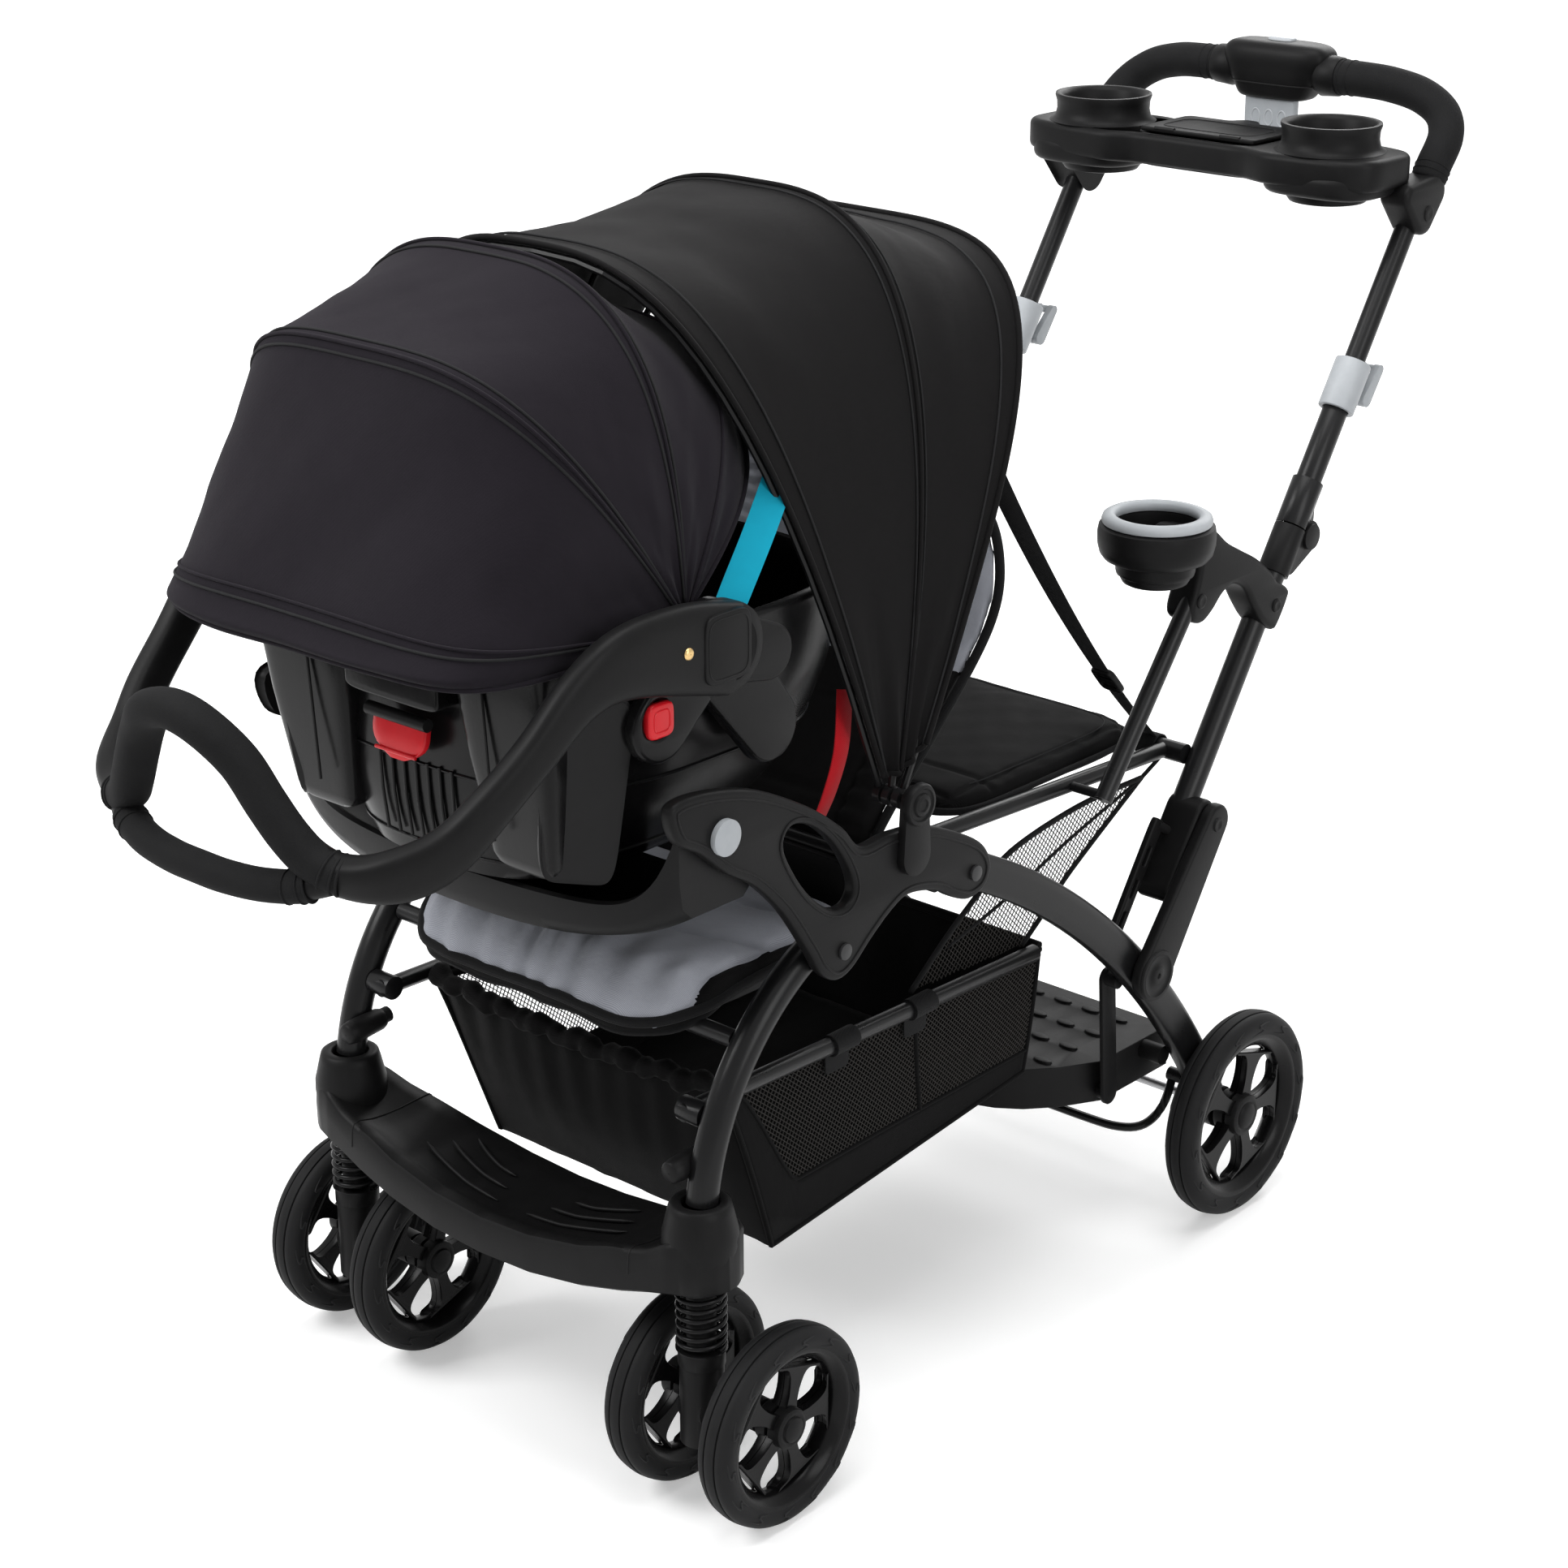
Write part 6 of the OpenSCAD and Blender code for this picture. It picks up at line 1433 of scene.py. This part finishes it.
b = Build()
rows = []
for f in np.linspace(0, 1, 22):
    row = []
    for s in np.linspace(-1, 1, 61):
        x, y, z = basket_point(1, 0, f)
        y += -0.01 * (1 - s ** 4) * math.sin(math.pi * f) + 0.0016 * math.sin(31 * s + 5 * f) * (1 - f) ** 2
        z += 0.0022 * math.sin(23 * s) * (1 - f) ** 3 - 0.01 * (1 - s * s) * (1 - f)
        row.append((x * s, y, z))
    rows.append(row)
b.grid(rows)
front_hem = rows[0]
rows = []
for v in np.linspace(0, 1, 41):
    x, y, z = basket_point(1, v, 1)
    rows.append([(x * s, y, z - 0.007 * (1 - s ** 4) * math.sin(math.pi * v) + 0.0016 * noise2(s * 9, v * 11, 51))
                 for s in np.linspace(-1, 1, 41)])
b.grid(rows)
rows = [[(x * s, y + 0.003 * math.sin(13 * s) * math.sin(math.pi * f), z) for s in np.linspace(-1, 1, 41)]
        for f in np.linspace(0, 1, 14) for x, y, z in [basket_point(1, 1, f)]]
b.grid(rows)
rear_hem = rows[0]
for side in (-1, 1):
    rows = [[basket_point(side, v, mix(net_foot(v), 1, k)) for k in np.linspace(0, 1, 7)]
            for v in np.linspace(0, 1, 61)]
    b.grid(rows)
    b.tube([r[0] for r in rows], 0.0015, 0, 8)
    b.tube([r[-1] for r in rows], 0.0022, 0, 8)
    b.tube([basket_point(side, 0, f) for f in np.linspace(0, 1, 24)], 0.0022, 0, 8)
    b.tube([basket_point(side, 1, f) for f in np.linspace(0, 1, 24)], 0.0018, 0, 8)
    b.tube([basket_point(side, SIDE_SEAM, f) for f in np.linspace(0, band_top(SIDE_SEAM), 20)], 0.0022, 0, 8)
    hem = np.array([basket_point(side, v, 0.02) for v in np.linspace(0, 1, 90)])
    b.tube(hem, 0.0042 + 0.0007 * np.sin(np.arange(90) * 0.9), 0, 10)
n = len(front_hem)
fat = 0.0085 + 0.0016 * np.sin(np.arange(n) * 1.7) + 0.001 * np.sin(np.arange(n) * 0.61 + 1)
b.tube(np.array(front_hem) + np.array([0, 0, 0.003]), fat, 0, 14)
b.tube(rear_hem, 0.004, 0, 10)
cloth = b.make("basket_look", [basket_cloth], "chassis", auto=70)


def lattice(b, inside, to_space, box, pitch, thread, material=0, step=0.006):
    """Diamond net: two families of threads over the flat area where inside(a, b) holds."""
    (a0, b0), (a1, b1) = box
    reach = (a1 - a0) + (b1 - b0)
    for way in (1, -1):
        for c in np.arange(pitch / 2, reach, pitch):
            run = []
            for t in np.arange(0, reach, step / 2):
                q = t * 0.7071
                a = a0 + c - q if way > 0 else a1 - c + q
                h = b0 + q
                ok = a0 <= a <= a1 and h <= b1 and inside(a, h)
                if ok:
                    run.append(to_space(a, h))
                if (not ok or t + step / 2 >= reach) and run:
                    if len(run) > 2:
                        b.tube(run[::2] + ([run[-1]] if len(run) % 2 == 0 else []), thread, material, 4, caps=False)
                    run = []
    return b


b = Build()
for side in (-1, 1):
    def net_point(a, h):
        return basket_point(side, (a - NET_FRONT) / NET_LONG, h / NET_DEEP)

    def net_inside(a, h):
        v = (a - NET_FRONT) / NET_LONG
        return 0.02 < v < 0.995 and h / NET_DEEP < net_foot(v)
    lattice(b, net_inside, net_point, ((NET_FRONT, 0.0), (0.117, NET_DEEP)), NET_PITCH, 0.00062)
net = b.make("basket_side_net", [net_wire], "chassis")
sheet_of(cloth, 0.6, 0.75)
modify(cloth, "SOLIDIFY", thickness=0.0014, offset=0)
for o in (cloth, net):
    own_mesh(o)
    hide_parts("basket")

# Webbing loops over the side rails
b = Build()
for side in (-1, 1):
    for y in (-0.185, -0.075):
        z = mix(0.372, 0.358, (y + 0.392) / 0.489)
        loop = np.array([(side * (0.19 + 0.0102 * math.cos(q)), y, z + 0.0102 * math.sin(q))
                         for q in np.linspace(0, 2 * math.pi, 32, False)])
        rows = [loop + np.array([0, d, -0.0004 * d]) for d in (-0.016, -0.0155, 0.0155, 0.016)]
        rows[0] = rows[0] * 0.35 + np.array([side * 0.19, y - 0.016, z]) * 0.65
        rows[3] = rows[3] * 0.35 + np.array([side * 0.19, y + 0.016, z]) * 0.65
        b.grid(rows, 0, True)
        b.plate(oval(0.032, 0.03, 8, 32, (y, z - 0.016)), [], across_x, side * 0.1835, side * 0.185, side * 0.0004)
o = b.make("basket_loops", [webbing], "chassis", auto=50)
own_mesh(o)

# Net gussets from the rear bench down to the basket
GUSSET = np.array([(0.29, 0.476), (0.185, 0.476), (0.08, 0.462), (0.03, 0.436), (-0.02, 0.408), (-0.075, 0.372),
                   (0.09, 0.364), (0.126, 0.386), (0.172, 0.416)])


def in_loop(loop, a, h):
    inside = False
    for (y0, z0), (y1, z1) in zip(loop, np.roll(loop, -1, 0)):
        if (z0 > h) != (z1 > h) and a < (y1 - y0) * (h - z0) / (z1 - z0) + y0:
            inside = not inside
    return inside


b = Build()
for side in (-1, 1):
    def gusset_point(a, h):
        return (side * np.interp(h, (0.365, 0.476), (0.1795, 0.1705)), a, h)
    lattice(b, lambda a, h: in_loop(GUSSET, a, h), gusset_point, ((-0.08, 0.362), (0.292, 0.478)), NET_PITCH,
            0.00055, 1)
    for first, last, size in ((0, 5, 0.0028), (6, 9, 0.0026)):
        path = [gusset_point(*p) for p in GUSSET[first:last + 1]] + ([gusset_point(*GUSSET[0])] if last == 9 else [])
        b.tube(curve(path, 6), size, 0, 10)
    b.tube(curve([gusset_point(0.288, 0.475), gusset_point(0.17, 0.447), gusset_point(0.07, 0.418),
                  gusset_point(-0.02, 0.398)], 8), 0.0018, 0, 8)
    b.tube([(side * 0.1705, 0.288, 0.475), (side * 0.17, 0.315, 0.486), (side * 0.169, 0.33, 0.492)], 0.0022, 0, 8)
o = b.make("bench_net", [webbing, net_wire])
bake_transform(o)


# Cup holder, brackets and springs

CUP = (0.205, 0.249)  # x and y of the cup's axis
b = Build()
b.lathe([(0.702, 0.0005), (0.702, 0.0345), (0.7035, 0.0368), (0.707, 0.0378), (0.746, 0.039), (0.7512, 0.0396),
         (0.7535, 0.043), (0.753, 0.05), (0.7505, 0.0548), (0.744, 0.056), (0.733, 0.0556), (0.7245, 0.0535),
         (0.719, 0.0495), (0.7165, 0.044), (0.715, 0.0375), (0.712, 0.035), (0.699, 0.033), (0.6955, 0.031),
         (0.694, 0.028), (0.694, 0.0005)], (*CUP, 0), (0, 0, 1), 0, 80)
arm = loop_curve([(0.262, 0.746), (0.285, 0.744), (0.2995, 0.74), (0.2998, 0.72), (0.2995, 0.696), (0.285, 0.695),
                  (0.268, 0.702), (0.255, 0.72)], 6)
b.plate(even_loop(arm, 72), [], across_x, 0.1925, 0.2175, 0.004)
b.lathe([(0.7528, 0.0396), (0.7545, 0.0388), (0.759, 0.0389), (0.7616, 0.0408), (0.7622, 0.044), (0.7618, 0.048),
         (0.76, 0.0512), (0.7565, 0.0525), (0.7535, 0.0518), (0.7524, 0.0495), (0.7524, 0.042), (0.7528, 0.0396)],
        (*CUP, 0), (0, 0, 1), 1, 80)
b.make("cup_holder_look", [plastic, grey], "rear_frame", auto=48, slot="black_plastic", stands_for="cup_holder")

bracket = loop_curve([(0.3015, 0.734), (0.305, 0.7368), (0.315, 0.736), (0.329, 0.729), (0.348, 0.714),
                      (0.372, 0.701), (0.402, 0.685), (0.43, 0.664), tuple(on_handle(0.408, -0.012)),
                      tuple(on_handle(0.409, 0.012)), tuple(on_handle(0.4, 0.0178)), tuple(on_handle(0.372, 0.0178)),
                      tuple(on_handle(0.3635, 0.012)), tuple(on_handle(0.364, -0.01)), (0.397, 0.638), (0.38, 0.66),
                      (0.36, 0.669), (0.342, 0.664), (0.325, 0.65), (0.308, 0.642), (0.292, 0.648), (0.2885, 0.66),
                      (0.296, 0.68), (0.301, 0.7)], 5)
b = Build()
for side in (-1, 1):
    b.plate(even_loop(bracket, 140), [], across_x, side * 0.19, side * 0.2225, side * 0.0058)
    for y, z, r in ((0.303, 0.666, 0.0075), (*on_handle(0.386), 0.007)):
        b.lathe(sided(side, [(0.0, r), (0.0014, r * 0.95), (0.0022, r * 0.75), (0.0018, r * 0.5), (0.0018, 0.0003)]),
                (side * 0.2223, y, z), (1, 0, 0), 0, 28)
b.make("link_bracket_look", [plastic], "rear_frame", auto=46, slot="black_plastic", stands_for="link_brackets")

# Folding joint of the rear leg: cover with its round boss, sleeve on the tube and slotted latch bar
b = Build()
for side in (-1, 1):
    cover = hull2((*HANDLE_FOOT, 0.0265), (*on_handle(0.162, 0.006), 0.0185))
    b.plate(cover, [], across_x, side * 0.2338, side * 0.247, side * 0.004)
    b.lathe(sided(side, [(0.0, 0.0262), (0.0018, 0.0252), (0.0022, 0.0215), (0.001, 0.02), (0.001, 0.011),
                         (0.0024, 0.0095), (0.0024, 0.003), (0.001, 0.002), (0.001, 0.0003)]),
            (side * 0.247, *HANDLE_FOOT), (1, 0, 0), 0, 48)
    b.lathe(sided(side, [(0.0, 0.0075), (0.0014, 0.0068), (0.0018, 0.005), (0.001, 0.003), (0.001, 0.0003)]),
            (side * 0.247, *on_handle(0.16, 0.005)), (1, 0, 0), 0, 28)
    b.plate(hull2((*on_handle(0.085, 0), 0.014), (*on_handle(0.165, 0.002), 0.0155)), [], across_x, side * 0.1925,
            side * 0.2335, side * 0.005)
    slots = [oval(0.02, 0.006, 6, 28, (s, -0.036)) for s in (0.036, 0.07, 0.104)]
    b.plate(oval(0.13, 0.017, 8, 72, (0.078, -0.036)), slots, by_handle, side * 0.203, side * 0.21, side * 0.0016)
    for s in (0.018, 0.138):
        b.tube([(side * 0.2065, *on_handle(s, -0.036)), (side * 0.2065, *on_handle(s, -0.006))], 0.0045, 0, 16)
b.make("leg_joint_covers", [plastic], "rear_frame", auto=44, slot="black_plastic", stands_for="pivot_housings")

SPRING_R, SPRING_TURNS = 0.0205, 7
for name, side in (("left", 1), ("right", -1)):
    q = np.linspace(0, 2 * math.pi * SPRING_TURNS, SPRING_TURNS * 40 + 1)
    f = q / q[-1]
    ease = mix(f, smoothstep(f, -0.12, 1.12), 0.35)
    ease = (ease - ease[0]) / (ease[-1] - ease[0])
    path = np.stack([side * CASTER[0] + SPRING_R * np.cos(q), CASTER[1] + SPRING_R * np.sin(q),
                     mix(0.1672, 0.2264, ease)], 1)
    b = Build().tube(path, 0.0023, 0, 12)
    b.lathe([(0.1648, 0.014), (0.1652, 0.0228), (0.1662, 0.0228), (0.1666, 0.014)], (side * CASTER[0], CASTER[1], 0),
            (0, 0, 1), 0, 40)
    o = b.make("spring_coil_" + name, [gloss], "chassis", auto=60)
    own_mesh(o)
    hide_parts("spring_" + name)


# Webbing

def hang(a, z, drop, n=40):
    """Path between two points that sags by drop."""
    f = np.linspace(0, 1, n)[:, None]
    p = np.array(a) * (1 - f) + np.array(z) * f
    p[:, 2] -= drop * 4 * (f * (1 - f))[:, 0]
    return p


def buckle(b, centre, way, across, size=(0.03, 0.034, 0.007), material=0):
    """Ladder buckle on a strap: a frame with two openings."""
    t = Vector(way).normalized()
    a = (Vector(across) - t * Vector(across).dot(t)).normalized()
    n = t.cross(a)
    c = Vector(centre)

    def place(u, v, d):
        return tuple(c + a * u + t * v + n * d)
    w, h, d = size
    slots = [oval(w * 0.7, h * 0.16, 6, 24, (0, s * h * 0.22)) for s in (-1, 1)]
    b.plate(even_loop(oval(w, h, 5, 48), 48), slots, place, -d / 2, d / 2, 0.0018, material)


strap_top, strap_low = np.array((0.15, 0.062, 0.838)), np.array((0.15, 0.33, 0.507))
path = hang(strap_top, strap_low, 0.02, 48)
f = np.linspace(0, 1, 48)
lean = np.stack([0.55 + 0.4 * np.sin(2.2 * f + 0.4), 0.3 * np.cos(3 * f), 0.1 + 0 * f], 1)
joint = 34  # the point with the buckle, where the strap passes from body to body
for word, line, way in (("left", path, lean), ("right", mirror(path), mirror(lean))):
    o = strap("recline_strap_top_" + word, line[:joint + 1], 0.02, way[:joint + 1], webbing, None)
    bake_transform(o)
    o = strap("recline_strap_low_" + word, line[joint:], 0.02, way[joint:], webbing, None)
    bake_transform(o)
b = Build()
for line, way in ((path, lean), (mirror(path), mirror(lean))):
    buckle(b, line[joint], line[joint + 2] - line[joint - 2], way[joint], (0.027, 0.036, 0.007))
b.make("recline_buckles", [plastic], "chassis", auto=45, slot="black_plastic")

b = Build()
for side in (-1, 1):
    ring = np.array([(side * 0.15, 0.334 + 0.0118 * math.cos(q), 0.494 + 0.0118 * math.sin(q))
                     for q in np.linspace(0, 2 * math.pi, 32, False)])
    b.grid(np.array([ring + np.array([d, 0, 0]) for d in (-0.011, -0.0106, 0.0106, 0.011)]), 0, True)
o = b.make("strap_loops", [webbing], "rear_frame", auto=50)
modify(o, "SOLIDIFY", thickness=0.0014, offset=1.0)

band = curve([(0.1872, -0.247, 0.939), (0.189, -0.254, 0.929), (0.1935, -0.27, 0.908), (0.2, -0.302, 0.868),
              (0.204, -0.334, 0.828), (0.205, -0.346, 0.812)], 8)
o = strap("carrier_cyan_band", band, 0.026, (0.25, 0.8, 0.45), cyan, "carrier", 0.0016)
o = strap("carrier_red_strap", curve([(0.1905, -0.185, 0.697), (0.1985, -0.198, 0.65), (0.196, -0.21, 0.612),
                                      (0.188, -0.217, 0.584)], 8), 0.019, (0, 1, 0.15), red_web, "carrier", 0.0018)


# Edges of the carried-over CAD parts, a little rounded

def soften(width, *names):
    for n in names:
        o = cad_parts[n]
        modify(o, "WELD", merge_threshold=0.00002)
        modify(o, "BEVEL", width=width, segments=2, limit_method="ANGLE", angle_limit=math.radians(38),
               use_clamp_overlap=True, harden_normals=False)


soften(0.0012, "canopy_mounts", "lower_knuckles", "fork_left", "fork_right", "platform_links",
       "clamp_collars", "clamp_lever_left", "clamp_lever_right", "standing_platform")
soften(0.0008, "rear_legs", "tray_button_left", "tray_button_right", "upper_handle", "strut_left", "strut_right",
       "frame_bolts", "basket_rails")
